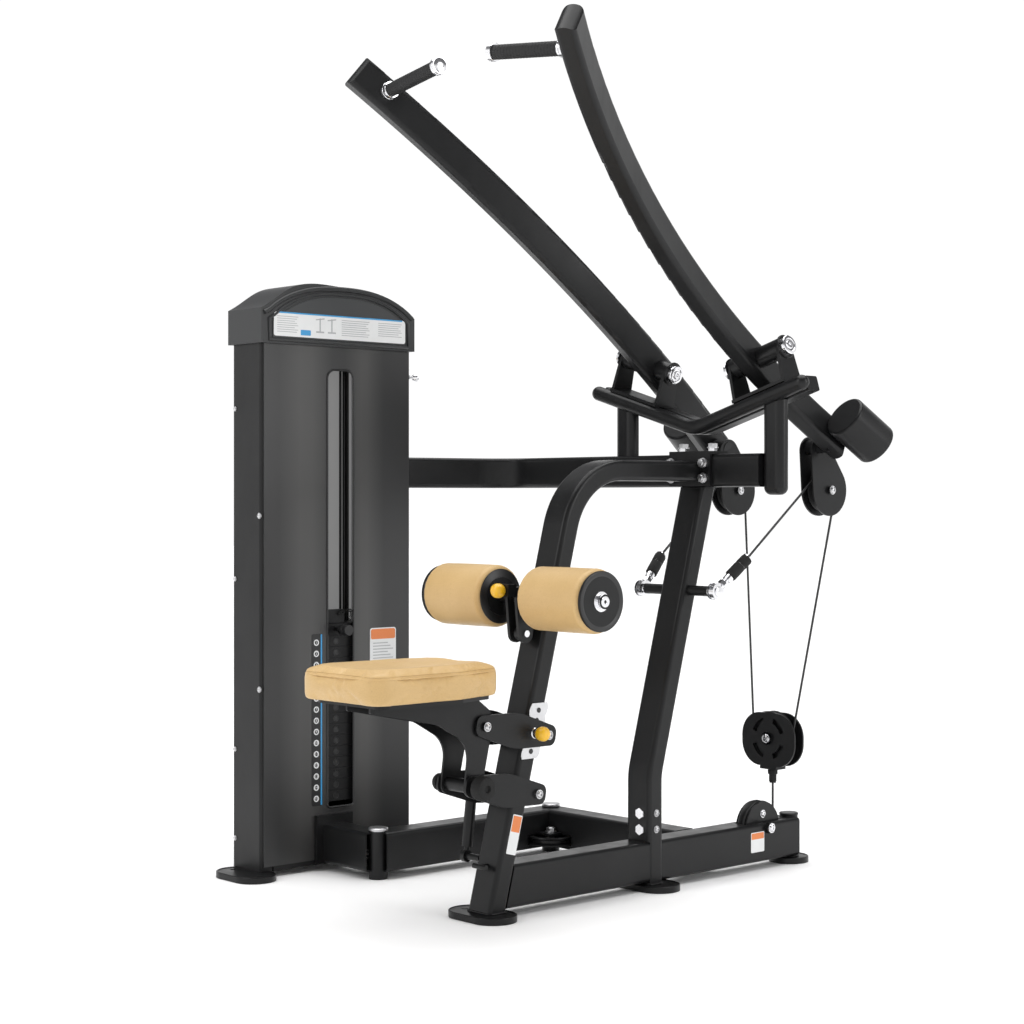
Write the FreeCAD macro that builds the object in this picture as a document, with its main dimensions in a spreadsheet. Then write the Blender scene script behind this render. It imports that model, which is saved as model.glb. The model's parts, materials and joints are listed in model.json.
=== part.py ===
import FreeCAD, Part
import math
import os
import re
from FreeCAD import Matrix, Placement, Rotation, Vector

# Lat pulldown machine: a padded seat and thigh rollers on a leaning post, two
# overhead arms on tilted pivots, a floating pulley and a shrouded weight tower.
# +X is where the user faces, +Y is the user's left (towards the tower), +Z up.

SIZES = [
    # base
    ("beam_width", 76, "floor beam, across"), ("beam_height", 100, "floor beam, tall"),
    ("beam_bottom", 20, "floor beam underside"), ("beam_corner", 10, "beam corner radius"),
    ("beam_wall", 4, "beam wall"), ("foot_length", 185, "foot plate"), ("foot_width", 110, ""),
    ("foot_thick", 14, ""), ("rear_foot_radius", 52.5, ""), ("anchor_radius", 7, "floor anchor"),
    ("middle_foot_x", 545, ""), ("rear_post_x", 1089, ""), ("post_radius", 24, "round corner post"),
    ("post_top", 127, ""), ("side_post_y", 541, "row of the side beam"),
    ("side_post_front", 121, ""), ("side_post_rear", 725, ""), ("cross_beam_x", 720, ""),
    ("link_beam_x", 118, ""),
    # leaning seat post and upright
    ("tube_wide", 80, "main tube across"), ("tube_deep", 51, "main tube depth"),
    ("tube_corner", 11, ""), ("post_foot_x", 8.65, "seat post centre at the floor"),
    ("post_lean", 14.87, "degrees"), ("post_bend", 180, "centreline radius"),
    ("run_height", 1037, "top run centre"), ("upright_x", 537, ""), ("upright_knee", 285, ""),
    ("upright_lean", 15.2, "degrees"), ("upright_bend", 160, ""),
    # lateral beam
    ("lateral_x", 733, ""), ("lateral_low", 997, ""), ("lateral_height", 83, ""),
    ("lateral_turn_y", 728, ""), ("lateral_turn", 130, ""), ("lateral_end_y", 790, ""),
    ("saddle_thick", 8, ""), ("saddle_wide", 140, ""), ("arm_post_x", 737, ""),
    ("arm_post_y", 255, ""), ("arm_post_wide", 64, ""), ("arm_post_deep", 40, ""),
    ("right_post_low", 977, ""),
    # vee with the arm pivots
    ("vee_slope", 16.5, "degrees"), ("vee_apex", 1146, ""), ("vee_reach", 348, ""),
    ("vee_bend", 100, ""), ("rail_radius", 19, "grab rail"), ("rail_x", 722, ""),
    ("pivot_beam_deep", 44, ""), ("pivot_x", 750, ""), ("pivot_y", 206.2, ""),
    ("pivot_rise", 110, "pivot axis over the vee line"), ("pin_radius", 10, "arm pivot pin"),
    ("running_gap", 0.05, "radial"), ("ear_thick", 9, ""), ("ear_wide", 52, ""),
    ("ear_inner", 66, ""), ("ear_outer", 97, ""), ("bracket_base", 8, ""),
    # arms
    ("arm_angle", 36, "degrees up at rest"), ("arm_wide", 50, ""), ("arm_deep", 80, ""),
    ("arm_corner", 12, ""), ("arm_rear", 350, "pivot to rear end"),
    ("arm_front", 1019, "pivot to tip"), ("arm_flare_rear", -19.4, ""),
    ("arm_flare_middle", 61.6, ""), ("arm_flare_tip", 377.4, ""), ("hub_radius", 26, ""),
    ("handle_length", 252, ""), ("handle_radius", 12, ""), ("grip_radius", 16.5, ""),
    ("weight_radius", 56, "counterweight"), ("weight_length", 130, ""),
    ("cheek_thick", 5, ""), ("cheek_gap", 31, ""), ("cheek_radius", 67, ""),
    # cable and wheels (path radius of the cable's centre)
    ("cable_radius", 3, ""), ("arm_wheel", 48, ""), ("float_wheel", 65, ""),
    ("base_wheel", 61.5, ""), ("guide_wheel", 55, ""), ("top_wheel", 30, ""),
    ("wheel_wide", 22, ""), ("wheel_lip", 6, ""), ("axle_radius", 8, ""),
    ("float_x", 1024, ""), ("float_z", 334, ""), ("low_run", 45.5, "cable height in the beams"),
    ("crossbar_radius", 13, ""), ("crossbar_half", 125, ""), ("crossbar_x", 660, ""),
    ("crossbar_z", 737, ""), ("ball_gap", 1.4, "spherical rod end"), ("cable_gap", 1.2, ""),
    # tower
    ("tower_left", -105, ""), ("tower_right", 381, ""), ("tower_front", 730, ""),
    ("tower_deep", 133, ""), ("column_wide", 40, ""), ("tower_bottom", 14, ""),
    ("tower_top", 1365, ""), ("base_plate", 14, ""), ("panel_thick", 4, "shroud"),
    ("slot_left", 100, ""), ("slot_right", 182, ""), ("slot_low", 160, ""),
    ("slot_high", 1305, ""), ("stack_x", 141, ""), ("stack_y", 790, ""), ("stack_low", 173, ""),
    ("plate_long", 300, ""), ("plate_deep", 90, ""), ("plate_thick", 28.4, ""),
    ("plate_pitch", 29, ""), ("plate_count", 15, ""), ("rod_radius", 12, "guide rod"),
    ("rod_half", 100, ""), ("rod_gap", 0.6, ""), ("stem_radius", 12, ""), ("stem_gap", 1.5, ""),
    ("cap_height", 159, ""), ("cap_over", 8, "cap past the tower"),
    # seat
    ("cushion_long", 400, ""), ("cushion_rear", 300, ""), ("cushion_front", 230, ""),
    ("cushion_thick", 75, ""), ("cushion_low", 525, ""), ("cushion_x", -232, "centre"),
    ("seat_plate", 8, ""), ("link_thick", 6, ""), ("link_y", 46, ""),
    ("link_upper_x", 157, ""), ("link_upper_z", 415, ""), ("link_lower_x", 125, ""),
    ("link_lower_z", 280, ""), ("link_run", 193, "pivot to pivot, along"),
    ("link_climb", 34, ""), ("link_pin", 8, ""), ("gas_y", 86, ""), ("gas_low_x", 24, ""),
    ("gas_low_z", 130, ""), ("gas_top_x", 60, ""), ("gas_top_z", 428, ""),
    # thigh rollers
    ("roller_radius", 75, ""), ("roller_inner", 65, ""), ("roller_outer", 270, ""),
    ("roller_x", 114, ""), ("roller_z", 737, ""), ("roller_bar", 12.5, ""),
    ("roller_pivot_x", 118, ""), ("roller_pivot_z", 652, ""), ("sector_inner", 98.5, ""),
    ("sector_outer", 110, ""),
]

doc = FreeCAD.newDocument("LatPulldown")
sheet = doc.addObject("Spreadsheet::Sheet", "sizes")
ALIASES = set()
for line, (alias, value, note) in enumerate(SIZES, 1):
    sheet.set("A%d" % line, note or alias)
    sheet.set("B%d" % line, str(value))
    sheet.setAlias("B%d" % line, alias)
    ALIASES.add(alias)
doc.recompute()


class Sizes:
    """The sheet's values by name."""


S = Sizes()
for alias, value, note in SIZES:
    setattr(S, alias, float(sheet.get(alias)))

NODES = []
X, Y, Z = Vector(1, 0, 0), Vector(0, 1, 0), Vector(0, 0, 1)


# ---------------------------------------------------------------- helpers
def formula(text):
    """An expression over the sheet's names."""
    return re.sub(r"[a-z][a-z_]*",
                  lambda m: "sizes." + m.group(0) if m.group(0) in ALIASES else m.group(0), text)


def frame(origin, x_dir, y_dir):
    """A placement whose local X and Y run along the two directions."""
    x_dir = Vector(x_dir).normalize()
    z_dir = x_dir.cross(Vector(y_dir)).normalize()
    y_dir = z_dir.cross(x_dir)
    return Placement(Matrix(x_dir.x, y_dir.x, z_dir.x, origin.x, x_dir.y, y_dir.y, z_dir.y,
                            origin.y, x_dir.z, y_dir.z, z_dir.z, origin.z, 0, 0, 0, 1))


def side_view(y=0.0):
    """Local X along +X and local Y up; the thickness runs towards -Y."""
    return frame(Vector(0, y, 0), X, Z)


def node(label, obj):
    obj.Label = label
    NODES.append(obj)
    return obj


def solid(name, shape):
    obj = doc.addObject("Part::Feature", name)
    obj.Shape = shape
    return obj


def box(name, sizes, corner):
    obj = doc.addObject("Part::Box", name)
    for prop, text in zip(("Length", "Width", "Height"), sizes):
        obj.setExpression(prop, formula(text))
    obj.Placement = Placement(Vector(*corner), Rotation())
    return obj


def cylinder(name, radius, height, base, direction=Z):
    obj = doc.addObject("Part::Cylinder", name)
    obj.setExpression("Radius", formula(radius))
    obj.setExpression("Height", formula(height))
    obj.Placement = Placement(Vector(*base), Rotation(Z, Vector(direction)))
    return obj


def fuse(name, objects):
    obj = doc.addObject("Part::MultiFuse", name)
    obj.Shapes = list(objects)
    return obj


def cut(name, base, tools):
    obj = doc.addObject("Part::Cut", name)
    obj.Base = base
    obj.Tool = tools[0] if len(tools) == 1 else fuse(name + "_tools", tools)
    return obj


def rounded(points, radii):
    """Closed outline of lines and tangent arcs through 2-D corner points."""
    count = len(points)
    radii = radii if isinstance(radii, (list, tuple)) else [radii] * count
    starts, ends, mids = [], [], []
    for i in range(count):
        here = Vector(*points[i], 0)
        back = (Vector(*points[i - 1], 0) - here).normalize()
        ahead = (Vector(*points[(i + 1) % count], 0) - here).normalize()
        turn = math.pi - back.getAngle(ahead)
        if radii[i] <= 0 or turn < 1e-4:
            starts.append(here)
            ends.append(here)
            mids.append(None)
            continue
        reach = radii[i] * math.tan(turn / 2)
        centre = here + (back + ahead).normalize() * (radii[i] / math.cos(turn / 2))
        starts.append(here + back * reach)
        ends.append(here + ahead * reach)
        mids.append(centre + (here - centre).normalize() * radii[i])
    outline = []
    for i in range(count):
        if mids[i] is not None:
            outline.append(Part.Arc(starts[i], mids[i], ends[i]))
        nxt = starts[(i + 1) % count]
        if (nxt - ends[i]).Length > 1e-6:
            outline.append(Part.LineSegment(ends[i], nxt))
    return outline


def rectangle(wide, tall, radius, x=0.0, y=0.0):
    a, b = wide / 2, tall / 2
    return rounded([(x - a, y - b), (x + a, y - b), (x + a, y + b), (x - a, y + b)], radius)


def circle(radius, x=0.0, y=0.0):
    return [Part.Circle(Vector(x, y, 0), Z, radius)]


def stadium(ax, ay, bx, by, radius, radius_b=None):
    """Two end circles joined by tangents."""
    radius_b = radius if radius_b is None else radius_b
    a, b = Vector(ax, ay, 0), Vector(bx, by, 0)
    along = (b - a)
    tilt = math.asin((radius - radius_b) / along.Length)
    along.normalize()
    side = Vector(-along.y, along.x, 0)
    up = side * math.cos(tilt) + along * math.sin(tilt)
    down = side * -math.cos(tilt) + along * math.sin(tilt)
    return [Part.LineSegment(a + up * radius, b + up * radius_b),
            Part.Arc(b + up * radius_b, b + along * radius_b, b + down * radius_b),
            Part.LineSegment(b + down * radius_b, a + down * radius),
            Part.Arc(a + down * radius, a - along * radius, a + up * radius)]


def band(points, bends, half):
    """Outline of a bent tube: the centreline offset both ways, corners rounded."""
    left, right = [], []
    for i, point in enumerate(points):
        here = Vector(*point, 0)
        into = (here - Vector(*points[i - 1], 0)).normalize() if i else None
        out = (Vector(*points[i + 1], 0) - here).normalize() if i + 1 < len(points) else None
        into, out = into or out, out or into
        normal = Vector(-(into.y + out.y), into.x + out.x, 0).normalize()
        reach = half / normal.dot(Vector(-into.y, into.x, 0))
        turn = into.cross(out).z
        bend = bends[i]
        left.append((here + normal * reach, bend - half if turn > 0 else bend + half))
        right.append((here - normal * reach, bend + half if turn > 0 else bend - half))
    corners = left + right[::-1]
    ends = (0, len(points) - 1, len(points), 2 * len(points) - 1)
    return rounded([(c[0].x, c[0].y) for c in corners],
                   [0 if i in ends else c[1] for i, c in enumerate(corners)])


def plane_of(body, role):
    for item in body.Origin.OriginFeatures:
        if item.Role == role:
            return item


def pad(name, outline, length, place, edge_round=None, keep=None):
    """A body with one sketch padded by a bound length, its face edges rounded."""
    body = doc.addObject("PartDesign::Body", name)
    sketch = body.newObject("Sketcher::SketchObject", name + "_sketch")
    sketch.AttachmentSupport = (plane_of(body, "XY_Plane"), [""])
    sketch.MapMode = "FlatFace"
    sketch.addGeometry(list(outline), False)
    feature = body.newObject("PartDesign::Pad", name + "_pad")
    feature.Profile = sketch
    feature.setExpression("Length", formula(length))
    if edge_round:
        doc.recompute()
        top = feature.Shape.BoundBox.ZMax
        edges = []
        for number, edge in enumerate(feature.Shape.Edges, 1):
            ends = edge.BoundBox
            flat = ends.ZLength < 1e-4 and (abs(ends.ZMin) < 1e-4 or abs(ends.ZMax - top) < 1e-4)
            if flat and (keep is None or keep(edge)):
                edges.append("Edge%d" % number)
        fillet = body.newObject("PartDesign::Fillet", name + "_round")
        fillet.Base = (feature, edges)
        fillet.setExpression("Radius", formula(edge_round))
    body.Placement = place
    return body


def spin(name, profile, place):
    """A body turned about its local Z from an (r, z) outline."""
    body = doc.addObject("PartDesign::Body", name)
    sketch = body.newObject("Sketcher::SketchObject", name + "_sketch")
    sketch.AttachmentSupport = (plane_of(body, "XZ_Plane"), [""])
    sketch.MapMode = "FlatFace"
    sketch.addGeometry(list(profile), False)
    turned = body.newObject("PartDesign::Revolution", name + "_turn")
    turned.Profile = sketch
    turned.ReferenceAxis = (sketch, ["V_Axis"])
    turned.Angle = 360
    body.Placement = place
    return body


def long_edges(limit):
    return lambda edge: edge.Length > limit


def wheel(label, path, centre, axis):
    """Grooved cable wheel: the groove floor clears the cable by a hair."""
    lip, floor, half = path + S.wheel_lip, path - S.cable_radius - 0.3, S.wheel_wide / 2
    bore = S.axle_radius + S.running_gap
    hub = S.axle_radius + 9
    flat = S.cable_radius + 0.6
    web = 5.0
    rim = floor - 7
    profile = [(bore, -half), (hub, -half), (hub + 2, -web), (rim, -web), (rim + 2, -half),
               (lip - 1, -half), (lip, -half + 2), (floor, -flat), (floor, flat),
               (lip, half - 2), (lip - 1, half), (rim + 2, half), (rim, web), (hub + 2, web),
               (hub, half), (bore, half)]
    return node(label, spin(label + "_body", rounded(profile, 0),
                            Placement(Vector(*centre), Rotation(Z, Vector(axis)))))


def pipe(wire, radius):
    """Round bar along a wire of lines and tangent arcs."""
    edge = wire.Edges[0]
    start = edge.valueAt(edge.FirstParameter)
    tangent = edge.tangentAt(edge.FirstParameter)
    if (wire.OrderedEdges[0].firstVertex(True).Point - start).Length > 1e-6:
        start, tangent = edge.valueAt(edge.LastParameter), edge.tangentAt(edge.LastParameter) * -1
    ring = Part.Wire([Part.Circle(start, tangent, radius).toShape()])
    made = Part.BRepOffsetAPI.MakePipeShell(wire)
    made.setFrenetMode(False)
    made.add(ring)
    made.build()
    made.makeSolid()
    shape = made.shape()
    if shape.Volume < 0:
        shape.reverse()
    return shape


def route(steps):
    """Wire from ("line", a, b) and ("arc", a, middle, b) steps."""
    edges = []
    for step in steps:
        points = [Vector(*p) for p in step[1:]]
        made = Part.LineSegment(*points) if step[0] == "line" else Part.Arc(*points)
        edges.append(made.toShape())
    return Part.Wire(edges)


def rod(radius, a, b):
    a, b = Vector(*a), Vector(*b)
    return Part.makeCylinder(radius, (b - a).Length, a, b - a)


def hexagon(across, thick, base, direction):
    corner = across / math.sqrt(3)
    points = [Vector(corner * math.cos(k * math.pi / 3), corner * math.sin(k * math.pi / 3), 0)
              for k in range(7)]
    shape = Part.Face(Part.makePolygon(points)).extrude(Vector(0, 0, thick))
    shape.Placement = Placement(Vector(*base), Rotation(Z, Vector(direction)))
    return shape


def bolt(radius, a, b, head=True, nut=True, across=None):
    """Hex bolt along a line; head and nut sit outside the two points."""
    a, b = Vector(*a), Vector(*b)
    along = (b - a).normalize()
    across = across or radius * 3.4
    parts = [rod(radius, a - along * 4, b + along * 4)]
    if head:
        parts.append(hexagon(across, radius * 1.3, a - along * radius * 1.3, along))
    if nut:
        parts.append(hexagon(across, radius * 1.5, b, along))
    return parts[0].multiFuse(parts[1:]).removeSplitter() if len(parts) > 1 else parts[0]


def tangent_point(point, centre, radius, upper):
    """Where the line from a 2-D point touches a circle, on the chosen side."""
    away = Vector(point[0] - centre[0], point[1] - centre[1], 0)
    angle = math.acos(radius / away.Length) * (1 if upper else -1)
    base = math.atan2(away.y, away.x)
    return (centre[0] + radius * math.cos(base - angle), centre[1] + radius * math.sin(base - angle))


# ---------------------------------------------------------------- base
beam_top = S.beam_bottom + S.beam_height
beam_mid = S.beam_bottom + S.beam_height / 2
lean = math.tan(math.radians(S.post_lean))


def post_x(z):
    """Centre of the leaning seat post at a height."""
    return S.post_foot_x + lean * z


post_face = S.tube_deep / math.cos(math.radians(S.post_lean)) / 2
post_arc_x = post_x(S.run_height) + S.post_bend * math.tan(
    math.radians(90 - S.post_lean) / 2)
seat_post_points = [(post_x(0), 0), (post_x(S.run_height), S.run_height),
                    (S.lateral_x - S.tube_deep / 2 - S.saddle_thick, S.run_height)]
upright_top_x = S.upright_x + math.tan(math.radians(S.upright_lean)) * (
    S.lateral_low + 60 - S.upright_knee)
upright_points = [(S.upright_x, 0), (S.upright_x, S.upright_knee),
                  (upright_top_x, S.lateral_low + 60)]


def tall_tube(name, points, bends):
    """Flat-sided tube bent in the XZ plane, centred on Y = 0."""
    outline = band(points, bends, S.tube_deep / 2)
    return pad(name, outline, "tube_wide", side_view(S.tube_wide / 2), "tube_corner",
               long_edges(S.tube_deep * 1.2))


# front, middle, tower and rear feet
tower_foot = (S.tower_left - 23, 768.0)
foot_spots = [(0.0, 0.0), (S.middle_foot_x, 0.0), tower_foot]
feet = []
half_run = (S.foot_length - S.foot_width) / 2
for number, (fx, fy) in enumerate(foot_spots):
    shape = stadium(fx, fy - half_run, fx, fy + half_run, S.foot_width / 2)
    if number == 2:
        shape += circle(S.anchor_radius, fx, fy + half_run + 22)
    feet.append(pad("foot_%d" % number, shape, "foot_thick", Placement()))
feet.append(pad("foot_rear", circle(S.rear_foot_radius, S.rear_post_x, 0), "foot_thick",
                Placement()))
feet.append(box("foot_tower", ("column_wide + 30", "tower_deep - 20", "tower_bottom"),
                (S.tower_right - S.column_wide - 30, S.tower_front + 10, 0)))
feet.append(cylinder("rear_post", "post_radius", "post_top", (S.rear_post_x, 0, 0)))
node("foot_plates", fuse("feet", feet))

# centre beam: a hollow tube from the seat post to the rear post
beam_start = post_x(S.beam_bottom)
beam_length = S.rear_post_x - beam_start
inner_width, inner_height = S.beam_width - 2 * S.beam_wall, S.beam_height - 2 * S.beam_wall
tube = pad("beam_tube", rectangle(S.beam_width, S.beam_height, S.beam_corner)
           + rectangle(inner_width, inner_height, S.beam_corner - S.beam_wall),
           "rear_post_x - post_foot_x", frame(Vector(S.post_foot_x, 0, beam_mid), Y, Z))
guide_out = S.guide_wheel + S.wheel_lip
base_x = S.float_x - S.base_wheel
base_z = S.low_run + S.base_wheel
junction = (S.cross_beam_x + S.guide_wheel, S.guide_wheel)
corner_b = (S.cross_beam_x - S.guide_wheel, S.side_post_y - 64)
cable_y = corner_b[1] + S.guide_wheel
corner_a = (S.stack_x + S.guide_wheel, cable_y + S.guide_wheel)
pocket_low = S.low_run - S.wheel_wide / 2 - 2


def pocket(name, centre):
    return cylinder(name, "guide_wheel + wheel_lip + 3", "wheel_wide + 4",
                    (centre[0], centre[1], pocket_low))


slot_front, slot_rear = base_x - S.base_wheel - 12, S.float_x + 12
beam_cuts = [
    solid("beam_post_cut", Part.Face(Part.Wire([e.toShape() for e in band(
        seat_post_points, [0, S.post_bend, 0], S.tube_deep / 2)])).extrude(Z * S.beam_width)),
    cylinder("beam_rear_cut", "post_radius", "beam_height + 20", (S.rear_post_x, 0, 10)),
    solid("beam_slot", Part.makeBox(slot_rear - slot_front, S.wheel_wide + 18, 30,
                                    Vector(slot_front, -S.wheel_wide / 2 - 9, beam_top - 15))),
    cylinder("beam_axle_cut", "axle_radius + running_gap", "beam_width + 20",
             (base_x, -S.beam_width / 2 - 10, base_z), Y),
    pocket("beam_pocket", junction),
    solid("beam_nose_cut", Part.makeBox(90, S.beam_width + 20, S.beam_height + 20, Vector(
        -60, -S.beam_width / 2 - 10, S.beam_bottom - 10))),
    solid("beam_window", Part.makeBox(inner_width, 30, inner_height, Vector(
        S.cross_beam_x - inner_width / 2, 20, S.beam_bottom + S.beam_wall))),
]
beam_cuts[0].Placement = side_view(S.beam_width / 2)
node("main_beam", cut("beam", tube, beam_cuts))

# seat post: leaning tube, bend and top run, with pivot lugs and the roller sector
seat_tube = cut("seat_tube", tall_tube("seat_tube_body", seat_post_points, [0, S.post_bend, 0]),
                [solid("seat_tube_foot", Part.makeBox(400, 200, 400, Vector(
                    -200, -100, S.foot_thick - 400)))])
lug_upper = (S.link_upper_x, S.link_upper_z)
lug_lower = (S.link_lower_x, S.link_lower_z)


def arc_band(cx, cz, inner, outer, a, b):
    """Flat ring segment between two angles in degrees."""
    def at(radius, degrees):
        angle = math.radians(degrees)
        return Vector(cx + radius * math.cos(angle), cz + radius * math.sin(angle), 0)
    return [Part.Arc(at(outer, a), at(outer, (a + b) / 2), at(outer, b)),
            Part.LineSegment(at(outer, b), at(inner, b)),
            Part.Arc(at(inner, b), at(inner, (a + b) / 2), at(inner, a)),
            Part.LineSegment(at(inner, a), at(outer, a))]


lugs = [seat_tube]
for name, (lx, lz) in (("lug_upper", lug_upper), ("lug_lower", lug_lower)):
    lug = pad(name, stadium(post_x(lz) + 5, lz, lx, lz, 17)
              + circle(S.link_pin + S.running_gap, lx, lz), "2*link_y - 4",
              side_view(S.link_y - 2))
    lugs.append(lug)
lugs.append(pad("roller_sector", arc_band(S.roller_pivot_x, S.roller_pivot_z, S.sector_inner,
                                          S.sector_outer, 44, 112), "2*ear_thick - 8",
                side_view(5)))
lugs.append(pad("roller_lug", stadium(post_x(S.roller_pivot_z), S.roller_pivot_z,
                                      S.roller_pivot_x, S.roller_pivot_z, 16)
                + circle(S.axle_radius + S.running_gap, S.roller_pivot_x, S.roller_pivot_z),
                "2*ear_thick - 8", side_view(5)))
lugs.append(cylinder("gas_stub", "axle_radius", "gas_y - 46 + 12",
                     (S.gas_low_x, S.tube_wide / 2 - 6, S.gas_low_z), Y))
hook = solid("tee_hook", rod(5, (post_x(120) - post_face + 3, 0, 120),
                             (post_x(120) - post_face - 22, 0, 120)).fuse(
    rod(6, (post_x(120) - post_face - 22, -22, 120), (post_x(120) - post_face - 22, 22, 120))))
lugs.append(hook)
lock_low, lock_high = 363.0, 491.0
lugs.append(pad("lock_plate", rounded([
    (post_x(lock_low) - 22, lock_low), (post_x(lock_low) + 24, lock_low),
    (post_x(lock_high) + 24, lock_high), (post_x(lock_high) - 22, lock_high)], 8),
    "ear_thick - 5", side_view(-S.tube_wide / 2 + 0.5)))
node("seat_post", fuse("seat_post_all", lugs))

# middle upright, with the centre beam passing through it
upright_tube = tall_tube("upright_tube", upright_points, [0, S.upright_bend, 0])
node("middle_upright", cut("upright", upright_tube, [
    solid("upright_top", Part.makeBox(400, 200, 200, Vector(500, -100, S.lateral_low))),
    solid("upright_foot", Part.makeBox(400, 200, 200, Vector(350, -100, S.foot_thick - 200))),
    solid("upright_gate", Part.makeBox(400, S.beam_width, S.beam_height, Vector(
        350, -S.beam_width / 2, S.beam_bottom))),
    cylinder("upright_bore", "crossbar_radius", "tube_wide + 40",
             (S.crossbar_x, -S.tube_wide / 2 - 20, S.crossbar_z), Y)]))

# ---------------------------------------------------------------- lateral beam and vee
lateral_top = S.lateral_low + S.lateral_height
lateral_start = -S.arm_post_y + S.arm_post_wide / 2
lateral_points = [(S.lateral_x, lateral_start), (S.lateral_x, S.lateral_turn_y),
                  (S.tower_right, S.lateral_end_y)]
lateral = pad("lateral_tube", band(lateral_points, [0, S.lateral_turn, 0], S.tube_deep / 2),
              "lateral_height", Placement(Vector(0, 0, S.lateral_low), Rotation()),
              "tube_corner", long_edges(S.tube_deep * 1.2))
node("lateral_beam", cut("lateral", lateral, [solid("lateral_end", Part.makeBox(
    100, 200, 200, Vector(S.tower_right - 100, 700, 950)))]))
front_face = S.lateral_x - S.tube_deep / 2
saddle_low = S.lateral_low + 2
node("saddle_bracket", pad("saddle", [Part.LineSegment(Vector(a[0], a[1], 0), Vector(b[0], b[1], 0))
                                      for a, b in zip(*(lambda p: (p, p[1:] + p[:1]))([
    (front_face - S.saddle_thick, saddle_low), (front_face, saddle_low),
    (front_face, lateral_top), (front_face + 60, lateral_top),
    (front_face + 60, lateral_top + S.saddle_thick),
    (front_face - S.saddle_thick, lateral_top + S.saddle_thick)]))],
    "saddle_wide", side_view(S.saddle_wide / 2)))

slope = math.radians(S.vee_slope)
vee_end_z = S.vee_apex + math.tan(slope) * S.vee_reach


def vee_z(y):
    return S.vee_apex + math.tan(slope) * abs(y)


post_shapes = []
for sgn, low in ((1, lateral_top), (-1, S.right_post_low)):
    half = (S.arm_post_wide - S.arm_post_deep) / 2
    outline = stadium(S.arm_post_x, sgn * S.arm_post_y - half, S.arm_post_x,
                      sgn * S.arm_post_y + half, S.arm_post_deep / 2)
    face = Part.Face(Part.Wire([e.toShape() for e in outline]))
    shape = face.extrude(Vector(0, 0, vee_z(S.arm_post_y) + 40 - low))
    shape.translate(Vector(0, 0, low))
    roof = Part.makeBox(200, 400, 200, Vector(-100, -200, 0))
    roof.Placement = Placement(Vector(S.arm_post_x, sgn * S.arm_post_y, vee_z(S.arm_post_y)),
                               Rotation(X, sgn * S.vee_slope)).multiply(
        Placement(Vector(0, 0, -S.rail_radius), Rotation()))
    shape = shape.cut(roof)
    if sgn < 0:
        bottom = [e for e in shape.Edges if e.BoundBox.ZMax < low + 1e-3]
        shape = shape.makeFillet(S.arm_post_deep / 2 - 2, bottom)
    post_shapes.append(shape)
node("arm_posts", solid("arm_posts_pair", Part.makeCompound(post_shapes)))

vee_points = [(-S.vee_reach, vee_end_z), (0, S.vee_apex), (S.vee_reach, vee_end_z)]
node("pivot_beam", pad("pivot_beam_body", band(vee_points, [0, S.vee_bend, 0], S.rail_radius),
                       "pivot_beam_deep", frame(Vector(S.rail_x + S.rail_radius + 0.3, 0, 0),
                                                Y, Z), "ear_thick - 4",
                       long_edges(S.rail_radius * 2.2)))


def limb_point(y_abs, sgn):
    return Vector(S.rail_x, sgn * y_abs, vee_z(y_abs))


bend_reach = S.vee_bend * math.tan(slope)
turn_in = limb_point(bend_reach * math.cos(slope), -1)
turn_out = limb_point(bend_reach * math.cos(slope), 1)
turn_low = Vector(S.rail_x, 0, S.vee_apex + S.vee_bend / math.cos(slope) - S.vee_bend)
rail_ends = [limb_point(S.vee_reach, -1), limb_point(S.vee_reach, 1)]
rail = pipe(route([("line", rail_ends[0], turn_in), ("arc", turn_in, turn_low, turn_out),
                   ("line", turn_out, rail_ends[1])]), S.rail_radius)
rail = rail.multiFuse([Part.makeSphere(S.rail_radius, end) for end in rail_ends])
node("grab_rail", solid("rail", rail.removeSplitter()))


class Side:
    """One arm's pivot frame: out runs along the axis, up is square to the limb."""

    def __init__(self, name, sgn):
        self.name, self.sgn = name, sgn
        self.out = Vector(0, sgn * math.cos(slope), math.sin(slope))
        self.up = Vector(0, -sgn * math.sin(slope), math.cos(slope))
        foot = Vector(S.pivot_x, sgn * S.pivot_y, vee_z(S.pivot_y))
        self.pivot = foot + self.up * S.pivot_rise
        rise = math.radians(S.arm_angle)
        self.along = X * -math.cos(rise) + self.up * math.sin(rise)
        self.top = X * math.sin(rise) + self.up * math.cos(rise)

    def at(self, u, v, n=0.0):
        return self.pivot + self.along * u + self.out * v + self.top * n

    def limb(self, v, w, x=0.0):
        return self.pivot + self.out * v + self.up * w + X * x


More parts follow.
